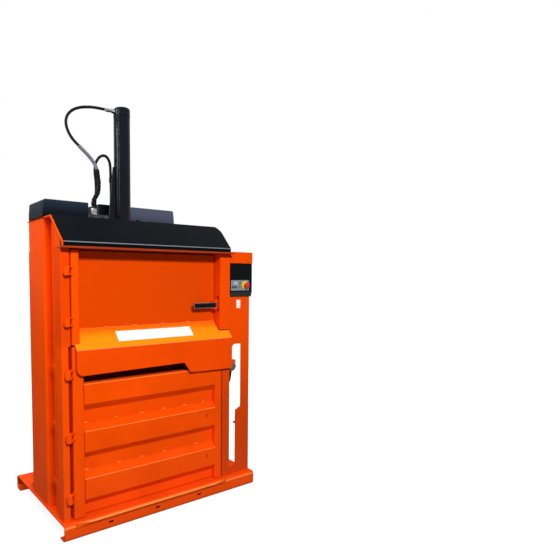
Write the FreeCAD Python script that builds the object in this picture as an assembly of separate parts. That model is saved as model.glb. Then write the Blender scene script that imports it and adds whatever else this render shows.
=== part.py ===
import FreeCAD, Part
import math
import os

# Vertical recycling baler, in millimetres.
# Sizes are laid out from the base: x from its left edge, y from its front skirt to the rear,
# z up from the floor. The last step moves every piece so that the origin is the middle of the
# whole footprint, on the floor.

V = FreeCAD.Vector
os.makedirs("parts", exist_ok=True)

# ---------------------------------------------------------------- driving dimensions
# Base
base_width = 1470.0
base_depth = 925.0
base_height = 97.0
base_sheet = 8.0
base_bend = 14.0
base_flange = 70.0
nose_left = 70.0
nose_length = 1130.0
nose_reach = 22.0
nose_drop = 30.0
nose_edge = 5.0
nose_run = 80.0
strap_pitch = 335.0
strap_height = 45.0
strap_shift = -10.0
strap_slot = (34.0, 14.0)
strap_corner = 6.0
anchor_radius = 9.0
anchor_inset = 47.0
anchor_depth = 678.0

# Main frame
frame_left = 12.0
frame_width = 1260.0
frame_top = 1892.0
head_floor = 1693.0
head_floor_sheet = 7.0
head_floor_gap = 6.0
head_sheet = 8.0
column_width = 46.0
column_front = 300.0
column_depth = 290.0
column_sheet = 6.0
column_corner = 14.0
wall_sheet = 6.0
chamber_depth = 604.0
floor_sheet = 18.0
groove_width = 30.0
groove_depth = 12.0
rear_beam_count = 3
rear_beam_height = 110.0
rear_beam_depth = 36.0
rear_beam_inset = 40.0

# Front posts
post_front = 44.0
post_depth = 82.0
post_sheet = 6.0
post_corner = 6.0
hinge_post_inset = 4.0
hinge_post_extra = 14.0
latch_post_width = 66.0
latch_post_upper_width = 89.0
latch_post_step = 1130.0
return_width = 76.0
gusset_level = 318.0
gusset_pitch = 347.0
gusset_reach = 82.0
gusset_height = 46.0
gusset_sheet = 8.0
tack_level = 535.0
tack_pitch = 325.0
tack_size = (5.0, 20.0, 48.0)
keeper_slot = (26.0, 26.0)
small_hole = 4.0
column_holes = ((375.0, 1690.0), (375.0, 1672.0), (447.0, 1678.0), (375.0, 1632.0), (375.0, 1614.0),
                (514.0, 1645.0), (438.0, 1521.0))
post_hole = (47.0, 697.0)

# Head
slope_front_drop = 164.0
slope_depth = 183.0
head_nose_reach = 4.0
beam_gap_front = 50.0
beam_sheet = 12.0
beam_flange = 60.0
cover_sheet = 4.0
head_step = 36.0
cover_margin = 9.0
cover_flat = 62.0
cover_skirt = 22.0
cover_right_cut = 28.0
cover_corner = 52.0
side_cover_front = 281.0
side_cover_depth = 279.0
side_cover_height = 108.0
side_cover_sheet = 3.0
left_cover_width = 289.0
rear_cover_left = 522.0
rear_cover_width = 634.0
rear_cover_depth = 260.0
rear_cover_gap = 8.0
rear_cover_top = 2052.0
rear_shelf_margin = 30.0
cover_edge = 30.0
cover_lean = 12.0
cover_bend = 8.0

# Hydraulics
cylinder_radius = 57.5
cylinder_bore = 50.0
cylinder_top = 2634.0
cylinder_bottom = 1738.0
cap_height = 62.0
cap_edge = 14.0
flange_side = 200.0
flange_sheet = 25.0
flange_corner = 14.0
rod_radius = 30.0
rod_flange_radius = 70.0
rod_flange_sheet = 10.0
piston_height = 35.0
piston_rest = 5.0
press_stroke = 850.0
gland_radius = 56.0
flange_bolt_pitch = 156.0
flange_bolt_head = (24.0, 13.0)
rib_reach = 52.0
rib_height = 387.0
rib_sheet = 12.0
pipe_radius = 8.0
hose_radius = 9.5
fitting_length = 66.0
fitting_radius = 13.0
motor_radius = 70.0
motor_length = 270.0
valve_x0, valve_x1 = 378.0, 506.0
valve_y0, valve_y1 = 424.0, 504.0
valve_height = 58.0
valve_chamfer = 5.0
cartridge_radius = 13.0
cartridge_length = 34.0
cartridge_head = (26.0, 16.0)
long_exit = (410.0, 452.0)
short_exit = (440.0, 486.0)
fitting_rise = 46.0
fitting_nut = (27.0, 16.0)
sleeve_radius = 17.0
sleeve_edges = (1, 9)
grey_radius = 12.0
grey_edges = (9, 13)

# The long hose: up out of the block, out to the left, over and in to the cap.
long_route = [
    (*long_exit, 1996.0), (*long_exit, 2044.0), (446.0, 450.0, 2098.0), (455.0, 452.0, 2160.0),
    (449.0, 454.0, 2222.0), (436.0, 456.0, 2280.0), (392.0, 458.0, 2334.0), (330.0, 460.0, 2384.0),
    (270.0, 462.0, 2434.0), (236.0, 464.0, 2492.0), (229.0, 466.0, 2554.0), (262.0, 468.0, 2610.0),
    (324.0, 469.0, 2646.0), (398.0, 470.0, 2663.0), (454.0, 470.0, 2668.0), (510.0, 470.0, 2668.0)]
# The short hose: up behind the sleeve, over in a tight loop, and down to the pipe.
short_route = [
    (*short_exit, 1996.0), (*short_exit, 2046.0), (452.0, 490.0, 2122.0), (448.0, 488.0, 2196.0),
    (440.0, 488.0, 2252.0), (446.0, 482.0, 2308.0), (476.0, 478.0, 2354.0), (524.0, 482.0, 2366.0),
    (564.0, 502.0, 2330.0), (582.0, 530.0, 2276.0), (582.0, 530.0, 2226.0)]

# Platen
platen_gap = 8.0
platen_plate = 12.0
platen_beam = 96.0
platen_wall = 8.0
platen_clearance = 8.0
guide_pad = (7.2, 90.0, 60.0)

# Doors
door_clearance = 5.0
hinge_x = 46.0
hinge_y = 25.0
pin_radius = 8.0
knuckle_radius = 16.0
knuckle_height = 34.0
leaf_sheet = 8.0
leaf_neck = 5.0
leaf_lap = 14.0
leaf_depth = 22.0
upper_hinges = (1272.0, 1564.0)
lower_hinges = (236.0, 598.0, 967.0)
running = 0.05
seat_gap = 0.3

upper_stile_left = 80.0
upper_stile_width = 50.0
upper_stile_bottom = 1135.0
upper_door_top = 1685.0
panel_depth = 66.0
panel_sheet = 6.0
shelf_top = 1221.0
lip_front = 16.0
lip_top = 1106.0
lip_bottom = 962.0
lip_left = 96.0
lip_right = 1269.0
lip_corner = 45.0
shelf_tab_back = 58.0
tab_start = 856.0
tab_run = 50.0
tab_drop = 68.0
tab_corner = 30.0
plate_on_shelf = (566.0, 74.0, 1.5)
plate_on_shelf_left = 381.0

lower_stile_left = 80.0
lower_stile_width = 71.0
lower_right_stile_width = 57.0
lower_door_top = 1125.0
lower_panel_top = 903.0
lower_stile_depth = 74.0
stile_sheet = 5.0
stile_corner = 9.0
rib_pitch = 288.0
rib_flat = 125.0
rib_depth = 40.0
rib_slope = 43.0
door_plate = 8.0
drain_slot = (7.0, 26.0)
drain_x = 1066.0

# Feed door handle
handle_level = 1336.0
handle_length = 200.0
handle_height = 38.0
handle_bar = 4.5
handle_width = 14.0
handle_pivot_x = 1158.0
handle_pivot_y = 66.0
handle_pin = 5.0
grip_radius = 15.0
ear_sheet = 6.0
ear_gap = 3.0

# Bale door latch
latch_offset = 16.0
latch_level = 893.0
latch_shaft = 10.0
latch_boss = 28.0
latch_boss_height = 16.0
latch_lug_sheet = 12.0
latch_lug_reach = 34.0
latch_lug_height = 48.0
latch_lever_length = 116.0
latch_lever_sheet = 10.0
latch_lever_gap = 2.0

# Control column
column_plate = 6.0
column_plate_front = 52.0
column_margin = 2.0
column_return = 46.0
column_bend = 11.0
slot_inset_upper = 26.0
slot_inset_lower = 4.0
slot_reach_upper = 112.0
slot_reach_lower = 62.0
slot_bottom = 155.0
slot_step = 575.0
slot_rise = 24.0
slot_top = 1050.0
slot_corner = 30.0
arm_overhang = 14.0
arm_bottom = 1631.0
arm_height = 80.0
arm_depth = 150.0
control_inset = 2.0
control_overhang = 6.0
control_bottom = 1391.0
control_height = 239.0
control_depth = 12.0
control_bevel = 36.0
strip_width = 170.0
strip_bottom = 1436.0
strip_height = 74.0
strip_sheet = 3.0
stop_offset = 131.0
stop_level = 1474.0
stop_radius = 21.0
stop_stem = 8.0
stop_height = 30.0
stop_travel = 6.0
collar_radius = 30.0
collar_sheet = 3.0
display_size = (36.0, 20.0)
key_size = 12.0
key_travel = 1.5
key_height = 1.5
label_size = (37.0, 61.0)
label_offset = 64.0
label_bottom = 1308.0
label_holes = (15.0, 142.0, 27.0, 51.0, 4.5)
cabinet_depth = 150.0
cabinet_recess = 12.0
stud_level = 471.0
stud_length = 10.0

# ---------------------------------------------------------------- values that follow
frame_right = frame_left + frame_width
column_right = base_width - column_margin
arm_right = base_width + arm_overhang
control_left = frame_right + control_inset
control_right = base_width + control_overhang
strip_right = control_left + strip_width
stop_x = control_left + stop_offset
label_left = control_left + label_offset
latch_x = frame_right + latch_offset
wall_left = frame_left + column_width
wall_right = frame_right - column_width
inside_left = wall_left + wall_sheet
inside_right = wall_right - wall_sheet
post_back = post_front + post_depth
chamber_back = post_back + chamber_depth
centre_x = (inside_left + inside_right) / 2
column_back = column_front + column_depth
beam_front = column_front + beam_gap_front
cylinder_y = (beam_front + column_back) / 2
slope_top_y = slope_depth
slope_foot_z = frame_top - slope_front_drop
slope_angle = math.atan2(slope_front_drop, slope_depth)
head_floor_top = head_floor + head_floor_sheet
beam_top = frame_top - head_sheet
flange_top = frame_top + flange_sheet
valve_top = frame_top + valve_height
panel_front = post_front + panel_depth
upper_door_right = frame_right - latch_post_upper_width - door_clearance - 2
lower_door_right = frame_right - latch_post_width - door_clearance - 3
lower_door_bottom = base_height + door_clearance
lower_panel_left = lower_stile_left + lower_stile_width
lower_panel_right = lower_door_right - lower_right_stile_width
platen_top = head_floor - platen_gap
control_front = column_plate_front - control_depth
shelf_slope = (shelf_top - lip_top) / (panel_front - lip_front)
notch_back = shelf_tab_back + door_clearance + 1
strip_front = control_front - strip_sheet
hinge_half = knuckle_height / 2 + leaf_sheet + 2 * seat_gap
origin_x = arm_right / 2
origin_y = (base_depth - nose_reach) / 2


# ---------------------------------------------------------------- helpers
def block(x0, x1, y0, y1, z0, z1):
    return Part.makeBox(x1 - x0, y1 - y0, z1 - z0, V(x0, y0, z0))


def rod(x, y, z, direction, radius, length):
    return Part.makeCylinder(radius, length, V(x, y, z), V(*direction))


def bore(x, y, low, high, radius):
    """The tool for an upright hole from low to high, a millimetre past both faces."""
    return rod(x, y, low - 1, (0, 0, 1), radius, high - low + 2)


def bore_through(x, z, front, back, radius):
    """The tool for a level hole from front to back, a millimetre past both faces."""
    return rod(x, front - 1, z, (0, 1, 0), radius, back - front + 2)


def hexagon(across, turn=0):
    """The six corners of a hexagon with that width across its flats, round the origin."""
    radius = across / math.sqrt(3)
    angles = [math.radians(60 * i + turn) for i in range(6)]
    return [(radius * math.cos(angle), radius * math.sin(angle)) for angle in angles]


def round_box(plane, low, high, radius, near, far):
    """A box with its four edges along the plane's normal rounded; low and high are its corners."""
    (a0, b0), (a1, b1) = low, high
    return prism(plane, [(a0, b0, radius), (a1, b0, radius), (a1, b1, radius), (a0, b1, radius)], near, far)


def place(plane, a, b):
    """A point of a drawing: a and b are y,z on plane x, x,z on plane y, and x,y on plane z."""
    return {"x": V(0, a, b), "y": V(a, 0, b), "z": V(a, b, 0)}[plane]


def outline(plane, corners):
    """A closed wire through corners (a, b) or (a, b, radius), with round corners as arcs."""
    points = [(c[0], c[1], c[2] if len(c) > 2 else 0.0) for c in corners]
    starts, ends, mids = [], [], []
    for i, (a, b, radius) in enumerate(points):
        before, after = points[i - 1], points[(i + 1) % len(points)]
        u = (before[0] - a, before[1] - b)
        w = (after[0] - a, after[1] - b)
        lu, lw = math.hypot(*u), math.hypot(*w)
        u, w = (u[0] / lu, u[1] / lu), (w[0] / lw, w[1] / lw)
        half = math.acos(max(-1.0, min(1.0, u[0] * w[0] + u[1] * w[1]))) / 2
        if radius <= 0 or abs(half - math.pi / 2) < 1e-6:
            starts.append((a, b))
            ends.append((a, b))
            mids.append(None)
            continue
        cut = radius / math.tan(half)
        bisector = (u[0] + w[0], u[1] + w[1])
        size = math.hypot(*bisector)
        reach = radius / math.sin(half) - radius
        starts.append((a + u[0] * cut, b + u[1] * cut))
        ends.append((a + w[0] * cut, b + w[1] * cut))
        mids.append((a + bisector[0] / size * reach, b + bisector[1] / size * reach))
    edges = []
    for i in range(len(points)):
        if mids[i]:
            three = [place(plane, *p) for p in (starts[i], mids[i], ends[i])]
            edges.append(Part.Arc(*three).toShape())
        here, there = place(plane, *ends[i]), place(plane, *starts[(i + 1) % len(points)])
        if here.distanceToPoint(there) > 1e-6:
            edges.append(Part.LineSegment(here, there).toShape())
    return Part.Wire(edges)


def prism(plane, corners, low, high):
    """The outline drawn on a plane through the origin, pushed from low to high along its normal."""
    along = {"x": V(1, 0, 0), "y": V(0, 1, 0), "z": V(0, 0, 1)}[plane]
    face = Part.Face(outline(plane, corners))
    face.translate(along * low)
    return face.extrude(along * (high - low))


def sheet(plane, path, thickness, bend, low, high):
    """A folded sheet: path is one face of it, the sheet lies to its right, bend is the inner radius."""
    count = len(path)
    offset = []
    for i in range(count):
        directions = []
        if i > 0:
            directions.append((path[i][0] - path[i - 1][0], path[i][1] - path[i - 1][1]))
        if i < count - 1:
            directions.append((path[i + 1][0] - path[i][0], path[i + 1][1] - path[i][1]))
        normals = []
        for d in directions:
            length = math.hypot(*d)
            normals.append((d[1] / length, -d[0] / length))
        n = (sum(v[0] for v in normals), sum(v[1] for v in normals))
        scale = 2 * thickness / (n[0] * n[0] + n[1] * n[1]) if len(normals) > 1 else thickness
        offset.append((path[i][0] + n[0] * scale, path[i][1] + n[1] * scale))
    near, far = [], []
    for i in range(count):
        turn = 0.0
        if 0 < i < count - 1:
            a = (path[i][0] - path[i - 1][0], path[i][1] - path[i - 1][1])
            b = (path[i + 1][0] - path[i][0], path[i + 1][1] - path[i][1])
            turn = a[0] * b[1] - a[1] * b[0]
        inner, outer = (bend, bend + thickness) if turn else (0.0, 0.0)
        near.append((path[i][0], path[i][1], inner if turn > 0 else outer))
        far.append((offset[i][0], offset[i][1], outer if turn > 0 else inner))
    return prism(plane, near + far[::-1], low, high)


def fused(shapes):
    first, rest = shapes[0], shapes[1:]
    return first.fuse(rest).removeSplitter() if rest else first


def save(name, *solids):
    """Moves the piece into the part's own frame and writes it."""
    shape = solids[0] if len(solids) == 1 else Part.makeCompound(list(solids))
    shape = shape.copy()
    shape.translate(V(-origin_x, -origin_y, 0))
    if not shape.isValid():
        print("NOT VALID", name)
    print(name, len(shape.Solids), "solids", round(shape.Volume / 1e6, 3), "dm3")
    shape.exportStep("parts/" + name + ".step")


def slope_z(y):
    """Height of the head's sloped front at depth y, on its outer face."""
    return slope_foot_z + y * slope_front_drop / slope_depth


# ---------------------------------------------------------------- base
strap_xs = [centre_x + strap_shift + (i - 1) * strap_pitch for i in range(3)]


def base_frame():
    """One folded plate: the deck, a skirt at the front and rear, and the feet folded inward."""
    path = [(base_flange, 0), (0, 0), (0, base_height), (base_depth, base_height),
            (base_depth, 0), (base_depth - base_flange, 0)]
    deck = sheet("x", path, base_sheet, base_bend, 0, base_width)
    width, height = strap_slot
    for x in strap_xs:
        low = (x - width / 2, strap_height - height / 2)
        high = (x + width / 2, strap_height + height / 2)
        deck = deck.cut(round_box("y", low, high, strap_corner, -1, base_sheet + 1))
    for x in (anchor_inset, base_width - anchor_inset):
        deck = deck.cut(bore(x, anchor_depth, base_height - base_sheet, base_height, anchor_radius))
    return deck


def floor_nose():
    """A lip on the front skirt: straight in the middle, run out at both ends, its underside sloped back."""
    x0, x1 = nose_left, nose_left + nose_length
    top = base_height
    plan = [(x0, 0), (x0 + nose_run, -nose_reach, nose_run),
            (x1 - nose_run, -nose_reach, nose_run), (x1, 0)]
    side = [(0, top), (-nose_reach, top, nose_edge), (-nose_reach, top - nose_edge), (0, top - nose_drop)]
    return prism("z", plan, top - nose_drop, top).common(prism("x", side, x0, x1))


def chamber_floor():
    """The plate that the bale stands on, with a groove for each strap."""
    top = base_height + floor_sheet
    plate = block(inside_left, inside_right, post_back, chamber_back, base_height, top)
    for x in strap_xs:
        plate = plate.cut(block(x - groove_width / 2, x + groove_width / 2, post_back - 1, chamber_back + 1,
                                top - groove_depth, top + 1))
    return plate


save("base_frame", base_frame())
save("floor_nose", floor_nose())
save("chamber_floor", chamber_floor())


# ---------------------------------------------------------------- main frame
def column(left):
    """A folded channel that carries the head, open towards the chamber wall."""
    outer = frame_left if left else frame_right
    inner = wall_left if left else wall_right
    if left:
        path = [(inner, column_front), (outer, column_front), (outer, column_back), (inner, column_back)]
    else:
        path = [(inner, column_back), (outer, column_back), (outer, column_front), (inner, column_front)]
    channel = sheet("z", path, column_sheet, column_corner, base_height, beam_top)
    if left:
        for y, z in column_holes:
            channel = channel.cut(rod(outer - 1, y, z, (1, 0, 0), small_hole, column_sheet + 2))
    return channel


def side_wall(left):
    """Chamber side: a flat sheet with a front edge that follows the head's slope."""
    x0 = wall_left if left else wall_right - wall_sheet
    under = head_sheet / math.cos(slope_angle)
    knee = slope_depth + head_sheet * math.tan(slope_angle / 2)
    corners = [(post_back, base_height), (chamber_back, base_height), (chamber_back, head_floor),
               (column_back, head_floor), (column_back, beam_top), (knee, beam_top, 8),
               (post_back, slope_z(post_back) - under)]
    wall = prism("x", corners, x0, x0 + wall_sheet)
    if left:
        flange = block(x0 + wall_sheet, x0 + return_width, post_back, post_back + wall_sheet,
                       base_height + floor_sheet + seat_gap, head_floor)
        wall = fused([wall, flange])
    return wall


def rear_wall():
    x0, x1 = inside_left, inside_right
    return block(x0, x1, chamber_back - wall_sheet, chamber_back, base_height + floor_sheet, head_floor)


def rear_beams():
    """Trapezoid stiffeners across the outside of the rear wall."""
    beams = []
    span = (head_floor - base_height) / rear_beam_count
    for i in range(rear_beam_count):
        middle = base_height + span * (i + 0.5)
        flat, foot = rear_beam_height / 2, rear_beam_height / 2 + rear_beam_depth
        y0, y1 = chamber_back, chamber_back + rear_beam_depth
        outer = [(y0, middle - foot), (y1, middle - flat), (y1, middle + flat), (y0, middle + foot)]
        inner_flat, inner_foot = flat - 3, foot - 7
        inner = [(y0, middle + inner_foot), (y1 - wall_sheet, middle + inner_flat),
                 (y1 - wall_sheet, middle - inner_flat), (y0, middle - inner_foot)]
        x0, x1 = inside_left + rear_beam_inset, inside_right - rear_beam_inset
        beams.append(prism("x", outer, x0, x1).cut(prism("x", inner, x0 - 1, x1 + 1)))
    return beams


def post_section(x0, x1, open_by, low, high):
    """A folded post between x0 and x1; its inside ends open_by beyond the back, inside it if negative."""
    t = post_sheet
    outer = [(x0, post_front, post_corner), (x1, post_front, post_corner), (x1, post_back), (x0, post_back)]
    hollow = block(x0 + t, x1 - t, post_front + t, post_back + open_by, low - 1, high + 1)
    return prism("z", outer, low, high).cut(hollow)


def hinge_post():
    """A closed folded post that carries the hinge knuckles, wider above the bale door."""
    x0, t = frame_left + hinge_post_inset, post_sheet
    lower = post_section(x0, wall_left, -t, base_height, latch_post_step)
    upper = post_section(x0, wall_left + hinge_post_extra, -t, latch_post_step, head_floor)
    shoulder = block(wall_left - t, wall_left + hinge_post_extra - t, post_front + t, post_back - t,
                     latch_post_step, latch_post_step + t)
    return fused([lower, upper, shoulder])


def post_gussets():
    """Three upright triangular plates behind the post, and four short tack plates on its rear edge."""
    x0 = frame_left + hinge_post_inset
    plates = []
    for i in range(3):
        z = gusset_level + i * gusset_pitch
        corners = [(post_back, z), (post_back + gusset_reach, z), (post_back + gusset_reach, z - 6),
                   (post_back, z - gusset_height)]
        plates.append(prism("x", corners, x0, x0 + gusset_sheet))
    across, deep, high = tack_size
    for i in range(4):
        z = tack_level + i * tack_pitch
        plates.append(block(x0, x0 + across, post_back, post_back + deep, z - high / 2, z + high / 2))
    return plates


def latch_post():
    """The right front post: wider above the bale door, open at the back, with two keeper slots."""
    t = post_sheet
    x0 = frame_right - latch_post_upper_width
    lower = post_section(frame_right - latch_post_width, frame_right, 1, base_height, latch_post_step)
    upper = post_section(x0, frame_right, 1, latch_post_step, head_floor)
    shoulder = block(x0 + t, frame_right - latch_post_width + t, post_front + t, post_back,
                     latch_post_step, latch_post_step + t)
    post = fused([lower, upper, shoulder])
    notch_top = lip_top + (shelf_tab_back - lip_front) * shelf_slope + door_clearance
    post = post.cut(block(x0 - 1, frame_right + 1, post_front - 1, notch_back,
                          lip_top, notch_top))
    slot_y = (post_front + panel_front) / 2
    for z in (handle_level - 33, handle_level + 49):
        post = post.cut(block(x0 - 1, x0 + t + 1, slot_y - keeper_slot[0] / 2, slot_y + keeper_slot[0] / 2,
                              z - keeper_slot[1] / 2, z + keeper_slot[1] / 2))
    inset, level = post_hole
    return post.cut(bore_through(frame_right - inset, level, post_front, post_front + t, small_hole))


save("left_column", column(True))
save("right_column", column(False))
save("left_chamber_wall", side_wall(True))
save("right_chamber_wall", side_wall(False))
save("rear_wall", fused([rear_wall()] + rear_beams()))
save("hinge_post", fused([hinge_post()] + post_gussets()))


# ---------------------------------------------------------------- head
def head_bottom_plate():
    """The plate over the chamber; in front it reaches past the posts and shades the feed door."""
    x0, x1 = frame_left + hinge_post_inset, frame_right
    front = -head_nose_reach
    shelf_left = rear_cover_left - rear_shelf_margin
    shelf_right = rear_cover_left + rear_cover_width + rear_shelf_margin
    shelf_back = column_back + rear_cover_gap + rear_cover_depth + rear_shelf_margin
    corners = [(x0, front), (x1, front), (x1, post_back), (inside_right, post_back),
               (inside_right, column_back), (wall_right, column_back), (wall_right, chamber_back),
               (shelf_right, chamber_back), (shelf_right, shelf_back, 20), (shelf_left, shelf_back, 20),
               (shelf_left, chamber_back), (wall_left, chamber_back), (wall_left, column_back),
               (inside_left, column_back), (inside_left, post_back), (x0, post_back)]
    plate = prism("z", corners, head_floor, head_floor_top)
    hole = rod_flange_radius + head_floor_gap
    return plate.cut(bore(centre_x, cylinder_y, head_floor, head_floor_top, hole))


def head_top_plate():
    """One bent plate: flat over the crossbeam, sloped to the front, then straight down."""
    path = [(column_back, frame_top), (slope_top_y, frame_top), (0, slope_foot_z), (0, head_floor_top)]
    plate = sheet("x", path[::-1], head_sheet, 4.0, frame_left - 2, frame_right)
    plate = plate.cut(block(frame_right - head_step, frame_right + 1, -1, slope_depth + cover_flat - 8,
                            head_floor_top - 1, frame_top + 1))
    return plate.cut(bore(centre_x, cylinder_y, beam_top, frame_top, cylinder_radius + 1))


def crossbeam(front):
    """A channel between the columns, its flanges turned towards the cylinder."""
    y = beam_front if front else column_back
    edge = y + beam_flange if front else y - beam_flange
    path = [(edge, head_floor_top), (y, head_floor_top), (y, beam_top), (edge, beam_top)]
    if not front:
        path = path[::-1]
    return sheet("x", path, beam_sheet, 6.0, inside_left, inside_right)


def head_cheek(left):
    """The post's continuation above the head's bottom plate, cut to the slope."""
    under = head_sheet / math.cos(slope_angle)
    t = post_sheet
    width = column_width - hinge_post_inset
    x0 = frame_left + hinge_post_inset if left else frame_right - head_step - 4 - width
    x1 = x0 + width
    side = x0 if left else x1 - t
    front_top, back_top = [slope_z(y) - under - seat_gap for y in (post_front, post_back)]
    corners = [(post_front, head_floor_top), (post_back, head_floor_top), (post_back, back_top),
               (post_front, front_top)]
    plate = prism("x", corners, side, side + t)
    face = block(x0, x1, post_front, post_front + t, head_floor_top, front_top)
    return fused([plate, face])


def front_cover():
    """A thin bent cover over the slope, with a hanging skirt; its right end is cut askew and rounded."""
    path = [(0, slope_foot_z - cover_skirt), (0, slope_foot_z), (slope_top_y, frame_top),
            (slope_top_y + cover_flat, frame_top)]
    left = frame_left - 2 + cover_margin
    right = frame_right - 8
    cover = sheet("x", path[::-1], cover_sheet, cover_bend, left, right)
    back = slope_top_y + cover_flat
    inset = right - cover_corner - 8
    keep = [(left - 1, -cover_sheet - 1), (right - cover_right_cut, -cover_sheet - 1),
            (right, slope_depth * 0.68), (right, slope_depth + 6, cover_corner),
            (inset, slope_depth + 6), (inset, back + 1), (left - 1, back + 1)]
    return cover.common(prism("z", keep, slope_foot_z - 60, frame_top + 10))


def box_cover(x0, x1, y0, y1, z0, z1, left):
    """A folded hood without a bottom: one side leans out; its edges there and at the rear are round."""
    lean_left, lean_right = (cover_lean, 0) if left else (0, cover_lean)
    a, b = x0 - lean_left, x1 + lean_right
    knee = z1 - side_cover_height

    def body(g):
        r = cover_edge - g
        round_left, round_right = (r, 6) if left else (6, r)
        plan = [(a + g, y0 + g, 4), (b - g, y0 + g, 6),
                (b - g, y1 - g, round_right), (a + g, y1 - g, round_left)]
        side = [(y0 + g, z0 - 2), (y1 - g, z0 - 2), (y1 - g, z1 - g, r), (y0 + g, z1 - g, cover_bend)]
        top_left, top_right = (cover_bend + 6, 5) if left else (5, cover_bend + 6)
        face = [(a + g, z0 - 2), (b - g, z0 - 2), (b - g, knee), (x1 - g, z1 - g, top_right),
                (x0 + g, z1 - g, top_left), (a + g, knee)]
        foot = z0 - (1 if g else 0)
        upright = prism("z", plan, foot, z1).common(prism("x", side, a - 1, b + 1))
        return upright.common(prism("y", face, y0 - 1, y1 + 1))

    return body(0).cut(body(side_cover_sheet))


def left_head_cover():
    x0, y0 = frame_left, side_cover_front
    return box_cover(x0, x0 + left_cover_width, y0, y0 + side_cover_depth,
                     frame_top, frame_top + side_cover_height, True)


def rear_cover():
    x0, y0 = rear_cover_left, column_back + rear_cover_gap
    return box_cover(x0, x0 + rear_cover_width, y0, y0 + rear_cover_depth,
                     head_floor_top, rear_cover_top, False)


save("head_bottom_plate", head_bottom_plate())
save("head_top_plate", head_top_plate())
save("crossbeam_channels", crossbeam(True), crossbeam(False))
save("head_cheeks", head_cheek(True), head_cheek(False))
save("front_cover", front_cover())
save("left_head_cover", left_head_cover())
save("rear_cover", rear_cover())


# ---------------------------------------------------------------- press
def revolved(profile, x, y):
    """A turned piece: profile is radius, height pairs, turned round the vertical through x, y."""
    face = Part.Face(outline("y", profile))
    solid = face.revolve(V(0, 0, 0), V(0, 0, 1), 360)
    solid.translate(V(x, y, 0))
    return solid


def turned_level(profile, x, y, z):
    """A turned piece that lies along y: profile is radius, depth pairs from the point x, y, z."""
    solid = revolved(profile, 0, 0)
    solid.rotate(V(0, 0, 0), V(1, 0, 0), -90)
    solid.translate(V(x, y, z))
    return solid


def cylinder_tube():
    profile = [(cylinder_bore, cylinder_bottom), (cylinder_radius, cylinder_bottom),
               (cylinder_radius, cylinder_top), (cylinder_bore, cylinder_top)]
    return revolved(profile, centre_x, cylinder_y)


def cylinder_cap():
    """The end cap, a little wider than the tube above a turned groove."""
    foot, top = cylinder_top, cylinder_top + cap_height
    groove, wide = cylinder_radius - 1.5, cylinder_radius + 1
    profile = [(0, foot), (groove, foot), (groove, foot + 3), (wide, foot + 3), (wide, top, cap_edge),
               (0, top)]
    return revolved(profile, centre_x, cylinder_y)


def cylinder_flange():
    s = flange_side / 2
    low, high = (centre_x - s, cylinder_y - s), (centre_x + s, cylinder_y + s)
    plate = round_box("z", low, high, flange_corner, frame_top, flange_top)
    return plate.cut(bore(centre_x, cylinder_y, frame_top, flange_top, cylinder_radius + running))


def hex_head(x, y, z, across, height):
    return prism("z", [(x + a, y + b) for a, b in hexagon(across)], z, z + height)


def piston_rod():
    foot = platen_top
    head = cylinder_top - piston_rest - piston_height
    profile = [(0, foot), (rod_flange_radius, foot), (rod_flange_radius, foot + rod_flange_sheet),
               (rod_radius, foot + rod_flange_sheet), (rod_radius, head), (cylinder_bore - 0.1, head),
               (cylinder_bore - 0.1, head + piston_height), (0, head + piston_height)]
    return revolved(profile, centre_x, cylinder_y)


def rod_gland():
    foot = cylinder_bottom - 38
    profile = [(rod_radius + running, foot), (gland_radius - 8, foot), (gland_radius, foot + 8),
               (gland_radius, cylinder_bottom), (rod_radius + running, cylinder_bottom)]
    return revolved(profile, centre_x, cylinder_y)


def cylinder_rib():
    """A tapered plate welded to the tube's left side above the flange."""
    x1 = centre_x - cylinder_radius
    z0, z1 = flange_top, flange_top + rib_height
    corners = [(x1 - rib_reach, z0), (x1 + 4, z0), (x1 + 4, z1), (x1 - 14, z1 - 14)]
    plate = prism("y", corners, cylinder_y - rib_sheet / 2, cylinder_y + rib_sheet / 2)
    return plate.cut(bore(centre_x, cylinder_y, z0, z1, cylinder_radius - 1))


def platen():
    """The press plate: box beams under a top plate, with an open groove for each strap between them."""
    x0, x1 = inside_left + platen_clearance, inside_right - platen_clearance
    y0, y1 = post_back + wall_sheet + platen_clearance, chamber_back - wall_sheet - platen_clearance
    z1 = platen_top
    z0 = z1 - platen_plate - platen_beam
    solids = [block(x0, x1, y0, y1, z1 - platen_plate, z1)]
    edges = [x0] + [v for x in strap_xs for v in (x - groove_width / 2, x + groove_width / 2)] + [x1]
    w = platen_wall
    for a, b in zip(edges[0::2], edges[1::2]):
        solids.append(block(a, b, y0, y1, z0, z1 - platen_plate))
    body = fused(solids)
    for a, b in zip(edges[0::2], edges[1::2]):
        body = body.cut(block(a + w, b - w, y0 - 1, y1 + 1, z0 + w, z1 - platen_plate))
    return body


def guide_pads():
    """Slide pads at the platen's two ends, a millimetre from the chamber walls."""
    reach, depth, height = guide_pad
    z0 = platen_top - platen_plate - platen_beam + 20
    pads = []
    y0, y1 = post_back + wall_sheet + platen_clearance, chamber_back - wall_sheet - platen_clearance
    for y in (y0 + (y1 - y0) * 0.2, y0 + (y1 - y0) * 0.8):
        x0 = inside_left + platen_clearance - reach
        pads.append(block(x0, x0 + reach, y - depth / 2, y + depth / 2, z0, z0 + height))
        x1 = inside_right - platen_clearance
        pads.append(block(x1, x1 + reach, y - depth / 2, y + depth / 2, z0, z0 + height))
    return pads


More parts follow.
